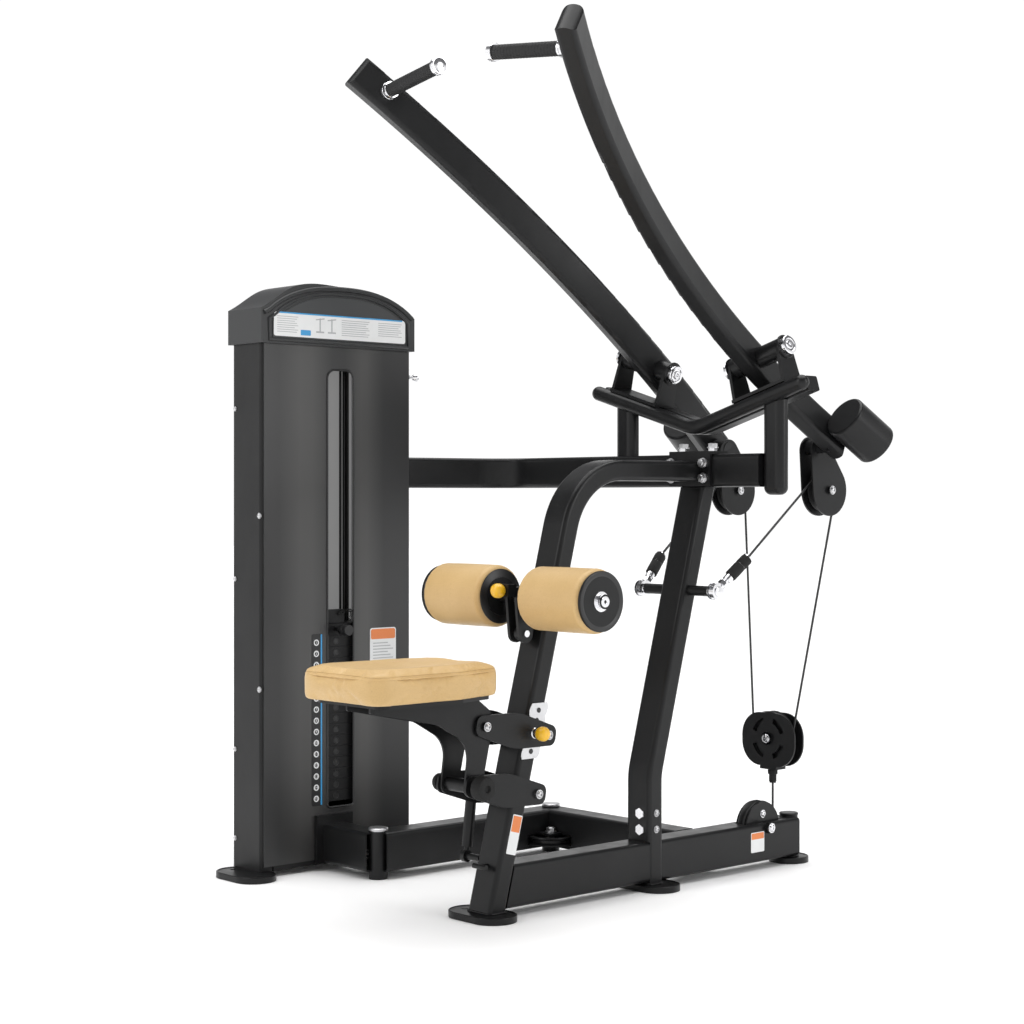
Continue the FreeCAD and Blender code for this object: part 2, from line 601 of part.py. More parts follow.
SIDES = [Side("left", 1), Side("right", -1)]
brackets = []
for side in SIDES:
    pieces = []
    base_w = -S.pivot_rise + S.rail_radius
    for v in (-S.ear_inner, S.ear_outer):
        foot = S.ear_wide / 2 + 8
        head = Part.Face(Part.Wire([e.toShape() for e in circle(S.ear_wide / 2)]))
        web = Part.Face(Part.makePolygon([
            Vector(-foot, base_w, 0), Vector(foot, base_w, 0), Vector(S.ear_wide / 2, 0, 0),
            Vector(-S.ear_wide / 2, 0, 0), Vector(-foot, base_w, 0)]))
        plate = head.extrude(Vector(0, 0, S.ear_thick)).fuse(
            web.extrude(Vector(0, 0, S.ear_thick))).removeSplitter()
        plate = plate.cut(Part.makeCylinder(S.pin_radius + S.running_gap, 40,
                                            Vector(0, 0, -20)))
        plate.Placement = frame(side.limb(v, 0) - X.cross(side.up) * (S.ear_thick / 2),
                                X, side.up)
        pieces.append(plate)
    span = S.ear_inner + S.ear_outer + S.ear_thick
    base = Part.makeBox(72, span, S.bracket_base)
    base.Placement = frame(side.limb(-S.ear_inner - S.ear_thick / 2 if side.sgn > 0
                                     else S.ear_outer + S.ear_thick / 2, base_w, -38),
                           X, side.out * side.sgn)
    pieces.append(base)
    brackets.append(pieces[0].multiFuse(pieces[1:]).removeSplitter())
node("pivot_brackets", solid("brackets", Part.makeCompound(brackets)))

# ---------------------------------------------------------------- arms


def circle_through(a, b, c):
    d = 2 * (a[0] * (b[1] - c[1]) + b[0] * (c[1] - a[1]) + c[0] * (a[1] - b[1]))
    sq = [p[0] ** 2 + p[1] ** 2 for p in (a, b, c)]
    x = (sq[0] * (b[1] - c[1]) + sq[1] * (c[1] - a[1]) + sq[2] * (a[1] - b[1])) / d
    y = (sq[0] * (c[0] - b[0]) + sq[1] * (a[0] - c[0]) + sq[2] * (b[0] - a[0])) / d
    return x, y, math.hypot(a[0] - x, a[1] - y)


arm_u = [-S.arm_rear, (S.arm_front - S.arm_rear) / 2, S.arm_front]
arm_v = [S.arm_flare_rear, S.arm_flare_middle, S.arm_flare_tip]
arc_u, arc_v, arc_r = circle_through(*zip(arm_u, arm_v))
arm_from = math.atan2(arm_v[0] - arc_v, arm_u[0] - arc_u)
arm_to = math.atan2(arm_v[2] - arc_v, arm_u[2] - arc_u)


def arm_uv(u, side_offset=0.0):
    """Point of the arm's centreline at a distance u ahead of the pivot."""
    angle = -math.acos((u - arc_u) / arc_r)
    radius = arc_r - side_offset
    return arc_u + radius * math.cos(angle), arc_v + radius * math.sin(angle)


pulley_local = (-416.0, -109.0, -74.0)
arm_wheel_centre = {}
for side in SIDES:
    flip = -side.sgn

    def at(radius, angle):
        return Vector(arc_u + radius * math.cos(angle),
                      flip * (arc_v + radius * math.sin(angle)), 0)

    middle = (arm_from + arm_to) / 2
    inner, outer = arc_r - S.arm_wide / 2, arc_r + S.arm_wide / 2
    bulge = 12 / arc_r
    outline = [Part.Arc(at(outer, arm_from), at(outer, middle), at(outer, arm_to)),
               Part.Arc(at(outer, arm_to), at(arc_r, arm_to + bulge), at(inner, arm_to)),
               Part.Arc(at(inner, arm_to), at(inner, middle), at(inner, arm_from)),
               Part.Arc(at(inner, arm_from), at(arc_r, arm_from - bulge), at(outer, arm_from))]
    place = frame(side.at(0, 0, -S.arm_deep / 2), side.along, side.out * flip)
    bar = pad(side.name + "_arm_bar", outline, "arm_deep", place, "arm_corner",
              long_edges(S.arm_wide * 1.3))
    hub_from = side.limb(-S.ear_inner + S.ear_thick / 2 + 0.5, 0)
    hub_to = side.limb(S.ear_outer - S.ear_thick / 2 - 0.5, 0)
    hub = cylinder(side.name + "_hub", "hub_radius", "ear_inner + ear_outer - ear_thick - 1",
                   hub_from, side.out)
    centre = side.at(*pulley_local)
    arm_wheel_centre[side.name] = centre
    cheeks = []
    tail = side.at(-S.arm_rear + 35, arm_uv(-S.arm_rear + 35)[1], -10)
    for offset in (-S.cheek_gap / 2 - S.cheek_thick, S.cheek_gap / 2):
        cheek = pad("%s_cheek_%d" % (side.name, offset > 0), stadium(
            centre.x, centre.z, tail.x + 6, tail.z - 30, S.cheek_radius, 36), "cheek_thick",
            side_view(centre.y + offset + S.cheek_thick))
        cheeks.append(cheek)
    lug_from = Vector(tail.x + 4, centre.y - side.sgn * (S.cheek_gap / 2 + S.cheek_thick),
                      tail.z - 22)
    lug = solid(side.name + "_cheek_lug", rod(20, lug_from, Vector(
        tail.x, tail.y + side.sgn * 6, tail.z - 14)))
    axle = cylinder(side.name + "_wheel_axle", "axle_radius", "cheek_gap + 2*cheek_thick + 16",
                    (centre.x, centre.y - S.cheek_gap / 2 - S.cheek_thick - 8, centre.z), Y)
    whole = fuse(side.name + "_arm_solid", [bar, hub, lug, axle] + cheeks)
    node(side.name + "_arm", cut(side.name + "_arm_bored", whole, [
        cylinder(side.name + "_hub_bore", "pin_radius + running_gap", "4*ear_outer",
                 side.limb(-2 * S.ear_outer, 0), side.out)]))

doc.recompute()
arm_shape = {side.name: NODES[-2 if side.name == "left" else -1].Shape.copy() for side in SIDES}

for side in SIDES:
    start_uv = arm_uv(958)
    start = side.at(start_uv[0], start_uv[1], 0)
    toward = Vector(-27, -side.sgn * 250, 26).normalize()
    tip = start + toward * S.handle_length
    bar = rod(S.handle_radius, start, tip)
    collar = rod(20, start + toward * 22, start + toward * 42)
    knob = rod(20, tip - toward * 12, tip)
    handle = bar.multiFuse([collar, knob]).removeSplitter().cut(arm_shape[side.name])
    node(side.name + "_handle", solid(side.name + "_handle_bar", handle))
    grip = rod(S.grip_radius, start + toward * 42.3, tip - toward * 12.3)
    node(side.name + "_grip", solid(side.name + "_grip_tube", grip.cut(bar)))
    # counterweight: its axis lies along the arm, outboard of the rear end
    rear_uv = arm_uv(-S.arm_rear + 25)
    gap = S.arm_wide / 2 + S.weight_radius + 2
    middle = side.at(rear_uv[0] - 12, rear_uv[1] + gap, 0)
    half = side.along * (S.weight_length / 2)
    mass = rod(S.weight_radius, middle - half, middle + half)
    edges = [e for e in mass.Edges if len(e.Vertexes) == 1 or e.Closed]
    mass = mass.makeFillet(6, [e for e in edges if abs(e.Length - 2 * math.pi
                                                      * S.weight_radius) < 1])
    boss = rod(16, side.at(rear_uv[0] - 12, rear_uv[1] + 10, 0), middle)
    mass = mass.fuse(boss).cut(arm_shape[side.name])
    node(side.name + "_counterweight", solid(side.name + "_mass", mass))

# ---------------------------------------------------------------- cable wheels
cable_low_z = S.low_run
for side in SIDES:
    wheel(side.name + "_arm_pulley", S.arm_wheel, arm_wheel_centre[side.name], Y)
wheel("floating_pulley", S.float_wheel, (S.float_x, 0, S.float_z), X)
wheel("base_pulley", S.base_wheel, (base_x, 0, base_z), Y)
wheel("junction_pulley", S.guide_wheel, (junction[0], junction[1], S.low_run), Z)
wheel("corner_pulley_rear", S.guide_wheel, (corner_b[0], corner_b[1], S.low_run), Z)
wheel("corner_pulley_front", S.guide_wheel, (corner_a[0], corner_a[1], S.low_run), Z)
tower_back = S.tower_front + S.tower_deep
rise_y = tower_back - S.panel_thick - 9
lower_wheel = (S.stack_x, rise_y - S.guide_wheel, S.low_run + S.guide_wheel)
top_radius = (rise_y - S.stack_y) / 2
top_wheel_z = S.tower_top + 75
upper_wheel = (S.stack_x, S.stack_y + top_radius, top_wheel_z)
wheel("tower_base_pulley", S.guide_wheel, lower_wheel, X)
wheel("tower_top_pulley", top_radius, upper_wheel, X)

# floating carriage
float_half = S.wheel_wide / 2 + 3
carriage = []
for sx in (-1, 1):
    plate_x = S.float_x + (float_half if sx > 0 else -float_half - S.cheek_thick)
    outline = rectangle(180, 141, 62, 0, -3.5)
    cheek = pad("float_cheek_%d" % (sx > 0), outline, "cheek_thick",
                frame(Vector(plate_x, 0, S.float_z), Y, Z))
    carriage.append(cheek)
slots = []
for middle_angle in (45, 135, 225, 315):
    ring = arc_band(0, 0, 42, 56, middle_angle - 26, middle_angle + 26)
    face = Part.Face(Part.Wire([e.toShape() for e in ring]))
    shape = face.extrude(Z * 80)
    shape.Placement = frame(Vector(S.float_x - 40, 0, S.float_z), Y, Z)
    slots.append(solid("float_slot_%d" % middle_angle, shape))
bridge = solid("float_bridge", Part.makeBox(2 * (float_half + S.cheek_thick), 56, 9, Vector(
    S.float_x - float_half - S.cheek_thick, -28, S.float_z - 82)).fuse(
    Part.makeBox(S.cheek_thick, 56, 20, Vector(S.float_x + float_half, -28, S.float_z - 82))).fuse(
    Part.makeBox(S.cheek_thick, 56, 20, Vector(
        S.float_x - float_half - S.cheek_thick, -28, S.float_z - 82))).fuse(
    rod(9, (S.float_x, 0, S.float_z - 119), (S.float_x, 0, S.float_z - 80))))
float_axle = cylinder("float_axle", "axle_radius", "wheel_wide + 6 + 2*cheek_thick + 12",
                      (S.float_x - float_half - S.cheek_thick - 6, 0, S.float_z), X)
node("floating_carriage", fuse("carriage", [cut("carriage_cheeks", fuse(
    "cheek_pair", carriage), slots), bridge, float_axle]))

# base pulley cheeks, half sunk in the centre beam
base_cheeks = []
for sy in (-1, 1):
    y_face = sy * (S.wheel_wide / 2 + 2 + (S.cheek_thick if sy > 0 else 0))
    base_cheeks.append(pad("base_cheek_%d" % (sy > 0), circle(65, base_x, base_z), "cheek_thick",
                           side_view(S.wheel_wide / 2 + 2 + S.cheek_thick if sy > 0
                                     else -S.wheel_wide / 2 - 2)))
base_axle = solid("base_axle", bolt(S.axle_radius, (base_x, -S.beam_width / 2, base_z),
                                    (base_x, S.beam_width / 2, base_z)))
node("base_pulley_cheeks", fuse("base_cheeks", base_cheeks + [base_axle]))

# ---------------------------------------------------------------- side base frame
low, high = S.beam_bottom, beam_top


def hollow(name, x0, x1, y0, y1, wall):
    size = (x1 - x0 - 2 * wall, y1 - y0 - 2 * wall, S.beam_height - 2 * wall)
    shape = Part.makeBox(*size, Vector(x0 + wall, y0 + wall, low + wall))
    return shape


half_beam = S.beam_width / 2
side_y0, side_y1 = S.side_post_y - half_beam, S.side_post_y + half_beam
runs = [(S.side_post_front, S.side_post_rear, side_y0, side_y1),
        (S.cross_beam_x - half_beam, S.cross_beam_x + half_beam, half_beam, S.side_post_y),
        (S.link_beam_x - half_beam, S.link_beam_x + half_beam, S.side_post_y, S.tower_front)]
outer = []
for number, (x0, x1, y0, y1) in enumerate(runs):
    bar = Part.makeBox(x1 - x0, y1 - y0, S.beam_height, Vector(x0, y0, low))
    along_x = number == 0
    long = [e for e in bar.Edges if e.Length > max(x1 - x0, y1 - y0) - 1e-3]
    outer.append(bar.makeFillet(S.beam_corner, long))
wall = S.beam_wall
inner_runs = [(S.side_post_front, S.side_post_rear, side_y0 + wall, side_y1 - wall),
              (S.cross_beam_x - half_beam + wall, S.cross_beam_x + half_beam - wall,
               half_beam - 1, S.side_post_y),
              (S.link_beam_x - half_beam + wall, S.link_beam_x + half_beam - wall,
               S.side_post_y, S.tower_front + 1)]
inner = [Part.makeBox(x1 - x0, y1 - y0, S.beam_height - 2 * wall, Vector(x0, y0, low + wall))
         for x0, x1, y0, y1 in inner_runs]
frame_shape = outer[0].multiFuse(outer[1:]).removeSplitter().cut(inner[0].multiFuse(inner[1:]))
posts = [rod(S.post_radius, (px, S.side_post_y, 0), (px, S.side_post_y, S.post_top - 2))
         for px in (S.side_post_front, S.side_post_rear)]
boot = Part.makeBox(S.beam_width + 40, 12, S.beam_height + 24, Vector(
    S.link_beam_x - half_beam - 20, S.tower_front - 12, low)).cut(Part.makeBox(
        S.beam_width - 2 * wall, 40, S.beam_height - 2 * wall, Vector(
            S.link_beam_x - half_beam + wall, S.tower_front - 30, low + wall)))
frame_shape = frame_shape.multiFuse(posts + [boot])
for cx, cy in (junction, corner_b, corner_a):
    frame_shape = frame_shape.cut(Part.makeCylinder(guide_out + 3, S.wheel_wide + 4,
                                                    Vector(cx, cy, pocket_low)))
plates = []
for (cx, cy), (x0, x1, y0, y1) in (
        (junction, (S.cross_beam_x + half_beam - 3, junction[0] + 26, half_beam,
                    junction[1] + 26)),
        (corner_b, (corner_b[0] - 26, S.cross_beam_x - half_beam + 3, corner_b[1] - 26,
                    side_y0 + 3)),
        (corner_a, (S.link_beam_x + half_beam - 3, corner_a[0] + 26, side_y1 - 3,
                    corner_a[1] + 26))):
    for z0 in (pocket_low - 6, pocket_low + S.wheel_wide + 4):
        plates.append(Part.makeBox(x1 - x0, y1 - y0, 6, Vector(x0, y0, z0)))
    plates.append(rod(S.axle_radius, (cx, cy, pocket_low - 6),
                      (cx, cy, pocket_low + S.wheel_wide + 16)))
frame_shape = frame_shape.multiFuse(plates).removeSplitter()
node("side_base_frame", solid("base_frame", frame_shape))

# ---------------------------------------------------------------- tower
left_in, right_in = S.tower_left + S.column_wide, S.tower_right - S.column_wide
column_back = S.panel_thick + 1
columns = []
for name, x0 in (("left", S.tower_left), ("right", right_in)):
    columns.append(pad("column_" + name, rectangle(
        S.column_wide, S.tower_deep - column_back, 9, x0 + S.column_wide / 2,
        S.tower_front + (S.tower_deep + column_back) / 2), "tower_top - tower_bottom",
        Placement(Vector(0, 0, S.tower_bottom), Rotation())))
floor_z = S.tower_bottom + S.base_plate
inside_wide = "tower_right - tower_left - 2*column_wide"
columns.append(box("tower_base", (inside_wide, "tower_deep - 2*panel_thick - 4", "base_plate"),
                   (left_in, S.tower_front + S.panel_thick + 2, S.tower_bottom)))
columns.append(cut("tower_head", box("tower_head_bar", (
    inside_wide, "tower_deep - 2*panel_thick - 4", "base_plate"),
    (left_in, S.tower_front + S.panel_thick + 2, S.tower_top - S.base_plate)),
    [box("tower_head_gap", ("wheel_wide + 8", "tower_deep - 30", "base_plate + 4"),
         (S.stack_x - S.wheel_wide / 2 - 4, S.stack_y - 22, S.tower_top - S.base_plate - 2))]))
for sx in (-1, 1):
    x0 = S.stack_x + sx * (S.wheel_wide / 2 + 4) - (S.cheek_thick if sx < 0 else 0)
    columns.append(box("top_wheel_plate_%d" % (sx > 0), ("cheek_thick", "tower_deep - 50", "92"),
                       (x0, S.tower_front + 25, S.tower_top - 2)))
    columns.append(box("low_wheel_plate_%d" % (sx > 0), ("cheek_thick", "tower_deep - 50", "88"),
                       (x0, S.tower_front + 25, floor_z - 2)))
    columns.append(cut("pedestal_%d" % (sx > 0), cylinder(
        "pedestal_bar_%d" % (sx > 0), "rod_radius + 18", "stack_low - tower_bottom - base_plate",
        (S.stack_x + sx * S.rod_half, S.stack_y, floor_z)), [cylinder(
            "pedestal_bore_%d" % (sx > 0), "rod_radius", "stack_low",
            (S.stack_x + sx * S.rod_half, S.stack_y, floor_z - 1))]))
columns.append(cylinder("top_wheel_axle", "axle_radius", "wheel_wide + 8 + 2*cheek_thick + 8",
                        (S.stack_x - S.wheel_wide / 2 - 8 - S.cheek_thick, upper_wheel[1],
                         upper_wheel[2]), X))
columns.append(cylinder("low_wheel_axle", "axle_radius", "wheel_wide + 8 + 2*cheek_thick + 8",
                        (S.stack_x - S.wheel_wide / 2 - 8 - S.cheek_thick, lower_wheel[1],
                         lower_wheel[2]), X))
node("tower_frame", fuse("tower", columns))

panel_wide = right_in - left_in
panel_mid = (left_in + right_in) / 2
slot_wide = S.slot_right - S.slot_left
slot_x = (S.slot_left + S.slot_right) / 2
slot = rounded([(S.slot_left, S.slot_low), (S.slot_right, S.slot_low),
                (S.slot_right, S.slot_high), (S.slot_left, S.slot_high)],
               [10, 10, 24, 24])
gate_left = S.link_beam_x - S.beam_width / 2 + S.beam_wall
front_left, front_right = S.tower_left + 7, S.tower_right - 4
node("front_shroud", cut("front_panel_open", pad("front_panel", rectangle(
    front_right - front_left, S.tower_top - floor_z, 0, (front_left + front_right) / 2,
    (S.tower_top + floor_z) / 2)
    + slot, "panel_thick", side_view(S.tower_front + S.panel_thick + 1)), [solid(
        "front_gate", Part.makeBox(S.stack_x + S.wheel_wide / 2 + 5 - gate_left, 30,
                                   S.low_run + S.guide_wheel + 22 - floor_z,
                                   Vector(gate_left, S.tower_front - 10, floor_z + 4)))]))
node("rear_shroud", pad("rear_panel", rectangle(
    panel_wide - 0.4, S.tower_top - floor_z, 0, panel_mid, (S.tower_top + floor_z) / 2),
    "panel_thick", side_view(tower_back - 1)))

cap_left, cap_right = S.tower_left - S.cap_over, S.tower_right + S.cap_over
crown = S.tower_top + S.cap_height
skyline = [Vector(cap_left, S.tower_top, 0), Vector(cap_left, crown - 70, 0),
           Vector(cap_left + 22, crown - 58, 0), Vector(cap_left + 98, crown - 12, 0),
           Vector(cap_left + 225, crown, 0), Vector(cap_left + 380, crown - 22, 0),
           Vector(cap_right, crown - 70, 0), Vector(cap_right, S.tower_top, 0)]
curve = Part.BSplineCurve()
curve.interpolate(skyline[1:-1])
edges = [Part.LineSegment(skyline[0], skyline[1]).toShape(), curve.toShape(),
         Part.LineSegment(skyline[-2], skyline[-1]).toShape(),
         Part.LineSegment(skyline[-1], skyline[0]).toShape()]
cap = Part.Face(Part.Wire(edges)).extrude(Z * (S.tower_deep + 2 * S.cap_over))
cap.Placement = side_view(tower_back + S.cap_over)
cap = cap.cut(Part.makeBox(S.tower_right - S.tower_left - 10, S.tower_deep - 12, 66, Vector(
    S.tower_left + 5, S.tower_front + 6, S.tower_top - 1)))
cap = cap.cut(Part.makeBox(70, S.tower_deep - 12, 122, Vector(
    S.stack_x - 35, S.tower_front + 6, S.tower_top - 1)))
node("tower_cap", solid("cap", cap))

# weight stack
rod_spots = [S.stack_x - S.rod_half, S.stack_x + S.rod_half]
node("guide_rods", fuse("rods", [cylinder(
    "guide_rod_%d" % k, "rod_radius", "tower_top - tower_bottom - 2*base_plate",
    (x, S.stack_y, floor_z)) for k, x in enumerate(rod_spots)]))


def stack_plate(name, thick):
    holes = []
    for x in (-S.rod_half, S.rod_half):
        holes += circle(S.rod_radius + S.rod_gap, x, 0)
    return rectangle(S.plate_long, S.plate_deep, 6) + holes


plates = []
for k in range(int(S.plate_count)):
    bottom = S.stack_low + k * S.plate_pitch
    body = pad("plate_%02d" % k, stack_plate("", 0) + circle(S.stem_radius + S.stem_gap),
               "plate_thick", Placement(Vector(S.stack_x, S.stack_y, bottom), Rotation()))
    plates.append(cut("plate_%02d_bored" % k, body, [cylinder(
        "plate_hole_%02d" % k, "stem_radius/2 + 0.5", "plate_deep/2",
        (S.stack_x, S.stack_y - S.plate_deep / 2 - 1, bottom + S.plate_thick / 2), Y)]))
doc.recompute()
node("weight_plates", solid("plate_stack", Part.makeCompound([p.Shape.copy() for p in plates])))
head_low = S.stack_low + S.plate_count * S.plate_pitch
head_mid = head_low + 16
head = pad("head_plate", stack_plate("", 0), "plate_thick + 3",
           Placement(Vector(S.stack_x, S.stack_y, head_low), Rotation()))
stem = cylinder("stem", "stem_radius", "plate_pitch*plate_count + 15",
                (S.stack_x, S.stack_y, S.stack_low - 10))
eye = cylinder("head_eye", "stem_radius - 2", "40", (S.stack_x, S.stack_y, head_low + 20))
pin_bore = cylinder("selector_bore", "stem_radius/2 + running_gap", "plate_deep/2 + 16",
                    (S.stack_x, S.stack_y - S.plate_deep / 2 - 2, head_mid), Y)
stem_bores = [cylinder("stem_bore_%02d" % k, "stem_radius/2", "80", (
    S.stack_x, S.stack_y - 40, S.stack_low + k * S.plate_pitch + S.plate_thick / 2), Y)
    for k in range(int(S.plate_count))]
node("top_plate", cut("top_plate_bored", fuse("top_plate_solid", [head, stem, eye]),
                      [pin_bore] + stem_bores))
pin_front = S.tower_front - 26
selector = rod(S.stem_radius / 2, (S.stack_x, pin_front, head_mid),
               (S.stack_x, S.stack_y + 12, head_mid))
selector = selector.fuse(rod(13, (S.stack_x, pin_front - 16, head_mid),
                             (S.stack_x, pin_front + 18, head_mid)))
node("selector_pin", solid("selector", selector))

# ---------------------------------------------------------------- cables
bt, gw, cr = S.base_wheel, S.guide_wheel, S.cable_radius
q = math.sqrt(0.5)
lz = S.low_run
jx, jy = junction
bx, by = corner_b
ax, ay = corner_a
ly, lz2 = lower_wheel[1], lower_wheel[2]
float_bottom = S.float_z - 119
head_top = head_low + 60
cable_steps = [
    ("line", (S.float_x, 0, float_bottom), (S.float_x, 0, base_z)),
    ("arc", (S.float_x, 0, base_z), (base_x + bt * q, 0, base_z - bt * q), (base_x, 0, lz)),
    ("line", (base_x, 0, lz), (jx, 0, lz)),
    ("arc", (jx, 0, lz), (jx - gw * q, jy - gw * q, lz), (jx - gw, jy, lz)),
    ("line", (jx - gw, jy, lz), (bx + gw, by, lz)),
    ("arc", (bx + gw, by, lz), (bx + gw * q, by + gw * q, lz), (bx, by + gw, lz)),
    ("line", (bx, by + gw, lz), (ax, ay - gw, lz)),
    ("arc", (ax, ay - gw, lz), (ax - gw * q, ay - gw * q, lz), (ax - gw, ay, lz)),
    ("line", (ax - gw, ay, lz), (S.stack_x, ly, lz)),
    ("arc", (S.stack_x, ly, lz), (S.stack_x, ly + gw * q, lz2 - gw * q), (S.stack_x, rise_y, lz2)),
    ("line", (S.stack_x, rise_y, lz2), (S.stack_x, rise_y, top_wheel_z)),
    ("arc", (S.stack_x, rise_y, top_wheel_z), (S.stack_x, upper_wheel[1],
                                               top_wheel_z + top_radius),
     (S.stack_x, S.stack_y, top_wheel_z)),
    ("line", (S.stack_x, S.stack_y, top_wheel_z), (S.stack_x, S.stack_y, head_top)),
]
stack_wire = route(cable_steps)
stack_cable = pipe(stack_wire, cr)
ratio = stack_cable.Volume / (stack_wire.Length * math.pi * cr * cr)
print("stack cable length %.0f, volume over section times length %.4f" % (
    stack_wire.Length, ratio))
assert abs(ratio - 1) < 0.01
node("stack_cable", solid("stack_cable_bar", stack_cable))

rod_tip = {}
sleeve_vector = Vector(753 - 660, 25, 820 - 737)
for side in SIDES:
    sgn = side.sgn
    hinge_point = Vector(S.crossbar_x, sgn * S.crossbar_half, S.crossbar_z)
    along = Vector(sleeve_vector.x, sgn * sleeve_vector.y, sleeve_vector.z)
    tip = hinge_point + along
    rod_tip[side.name] = tip
    unit = Vector(along).normalize()
    eye = rod(19, hinge_point - Y * 8, hinge_point + Y * 8).cut(
        rod(S.axle_radius + S.ball_gap, hinge_point - Y * 20, hinge_point + Y * 20))
    body = rod(9, hinge_point + unit * 17, hinge_point + unit * 62)
    sleeve = rod(14, hinge_point + unit * 58, tip)
    node(side.name + "_rod_end", solid(side.name + "_rod", eye.multiFuse(
        [body, sleeve]).removeSplitter()))
    centre = arm_wheel_centre[side.name]
    touch = tangent_point((tip.x, tip.z), (centre.x, centre.z), S.arm_wheel, True)
    if touch[1] < centre.z:
        touch = tangent_point((tip.x, tip.z), (centre.x, centre.z), S.arm_wheel, False)
    front_touch = Vector(touch[0], centre.y, touch[1])
    node(side.name + "_cable_front", solid(side.name + "_front_bar", rod(
        cr, tip + (front_touch - tip).normalize() * S.cable_gap,
        front_touch - (front_touch - tip).normalize() * S.cable_gap)))
    low_end = Vector(S.float_x, sgn * S.float_wheel, S.float_z)
    back = tangent_point((low_end.x, low_end.z), (centre.x, centre.z), S.arm_wheel, False)
    if back[0] < centre.x:
        back = tangent_point((low_end.x, low_end.z), (centre.x, centre.z), S.arm_wheel, True)
    rear_touch = Vector(back[0], centre.y, back[1])
    over = (front_touch + rear_touch) * 0.5 - centre
    over = centre + over.normalize() * S.arm_wheel
    if over.z < centre.z:
        over = centre - (over - centre)
    wrap = pipe(Part.Wire([Part.Arc(front_touch, over, rear_touch).toShape()]), cr)
    drop = rod(cr, rear_touch, low_end + (rear_touch - low_end).normalize()
               * S.cable_gap).fuse(Part.makeSphere(cr, rear_touch))
    node(side.name + "_cable_drop", solid(side.name + "_drop_bar", wrap.fuse(drop)))
    side.front_touch, side.rear_touch, side.low_end = front_touch, rear_touch, low_end
under = pipe(Part.Wire([Part.Arc(Vector(S.float_x, S.float_wheel, S.float_z),
                                 Vector(S.float_x, 0, S.float_z - S.float_wheel),
                                 Vector(S.float_x, -S.float_wheel, S.float_z)).toShape()]), cr)
node("float_cable_loop", solid("float_loop", under))
crossbar = cylinder("crossbar_bar", "crossbar_radius", "2*crossbar_half - 24",
                    (S.crossbar_x, -S.crossbar_half + 12, S.crossbar_z), Y)
stubs = [cylinder("crossbar_stub", "axle_radius", "2*crossbar_half + 28",
                  (S.crossbar_x, -S.crossbar_half - 14, S.crossbar_z), Y)]
node("cable_crossbar", fuse("crossbar", [crossbar] + stubs))

# ---------------------------------------------------------------- fasteners
fasteners = []
for side in SIDES:
    a = side.limb(-S.ear_inner - S.ear_thick / 2 - 0.3, 0)
    b = side.limb(S.ear_outer + S.ear_thick / 2 + 0.3, 0)
    pin = rod(S.pin_radius, a - side.out * 6, b + side.out * 6)
    caps = [rod(23, a - side.out * 14, a), rod(23, b, b + side.out * 14)]
    fasteners.append(pin.multiFuse(caps).removeSplitter())
for z in (150, 190):
    fasteners.append(bolt(7, (S.upright_x - S.tube_deep / 2 - 0.2, -14, z),
                          (S.upright_x - S.tube_deep / 2 - 0.1, -14, z), nut=False))
for y in (-50, 50):
    fasteners.append(hexagon(20, 9, (S.lateral_x, y, lateral_top + S.saddle_thick), Z))
for z in (1020, 1058):
    fasteners.append(hexagon(19, 9, (front_face - S.saddle_thick, 55, z), X * -1))
    fasteners.append(hexagon(19, 9, (front_face - S.saddle_thick, -55, z), X * -1))
fasteners.append(rod(S.link_pin, (lug_upper[0], -60, lug_upper[1]), (lug_upper[0], 60,
                                                                     lug_upper[1])))
fasteners.append(rod(S.link_pin, (lug_lower[0], -60, lug_lower[1]), (lug_lower[0], 60,
                                                                     lug_lower[1])))
fasteners.append(rod(S.axle_radius, (S.roller_pivot_x, -24, S.roller_pivot_z),
                     (S.roller_pivot_x, 24, S.roller_pivot_z)))
node("frame_bolts", solid("bolts", Part.makeCompound(fasteners)))

# ---------------------------------------------------------------- seat
cushion_x0 = S.cushion_x - S.cushion_long / 2
cushion_x1 = S.cushion_x + S.cushion_long / 2
front_half, rear_half = S.cushion_front / 2, S.cushion_rear / 2
cushion_outline = rounded([(cushion_x0, -rear_half), (cushion_x1 - 140, -rear_half),
                           (cushion_x1, -front_half), (cushion_x1, front_half),
                           (cushion_x1 - 140, rear_half), (cushion_x0, rear_half)],
                          [50, 90, 40, 40, 90, 50])
node("seat_cushion", pad("cushion", cushion_outline, "cushion_thick", Placement(
    Vector(0, 0, S.cushion_low), Rotation()), "tube_corner + 7"))
hinge_upper = (S.link_upper_x - S.link_run, S.link_upper_z + S.link_climb)
hinge_lower = (S.link_lower_x - S.link_run, S.link_lower_z + S.link_climb)


def lens(a, b, half, end):
    """Pointed oval plate between two pivots, fuller in the middle."""
    ax_, az_ = a
    bx_, bz_ = b
    along = Vector(bx_ - ax_, bz_ - az_, 0)
    span = along.Length
    along.normalize()
    across = Vector(-along.y, along.x, 0)
    mid = Vector((ax_ + bx_) / 2, (az_ + bz_) / 2, 0)
    reach = span / 2 + end
    points = []
    for u, v in ((-reach, -end * 0.8), (0, -half * 1.22), (reach, -end * 0.8),
                 (reach, end * 0.8), (0, half * 1.22), (-reach, end * 0.8)):
        p = mid + along * u + across * v
        points.append((p.x, p.y))
    return rounded(points, [end * 0.7, 160, end * 0.7, end * 0.7, 160, end * 0.7])


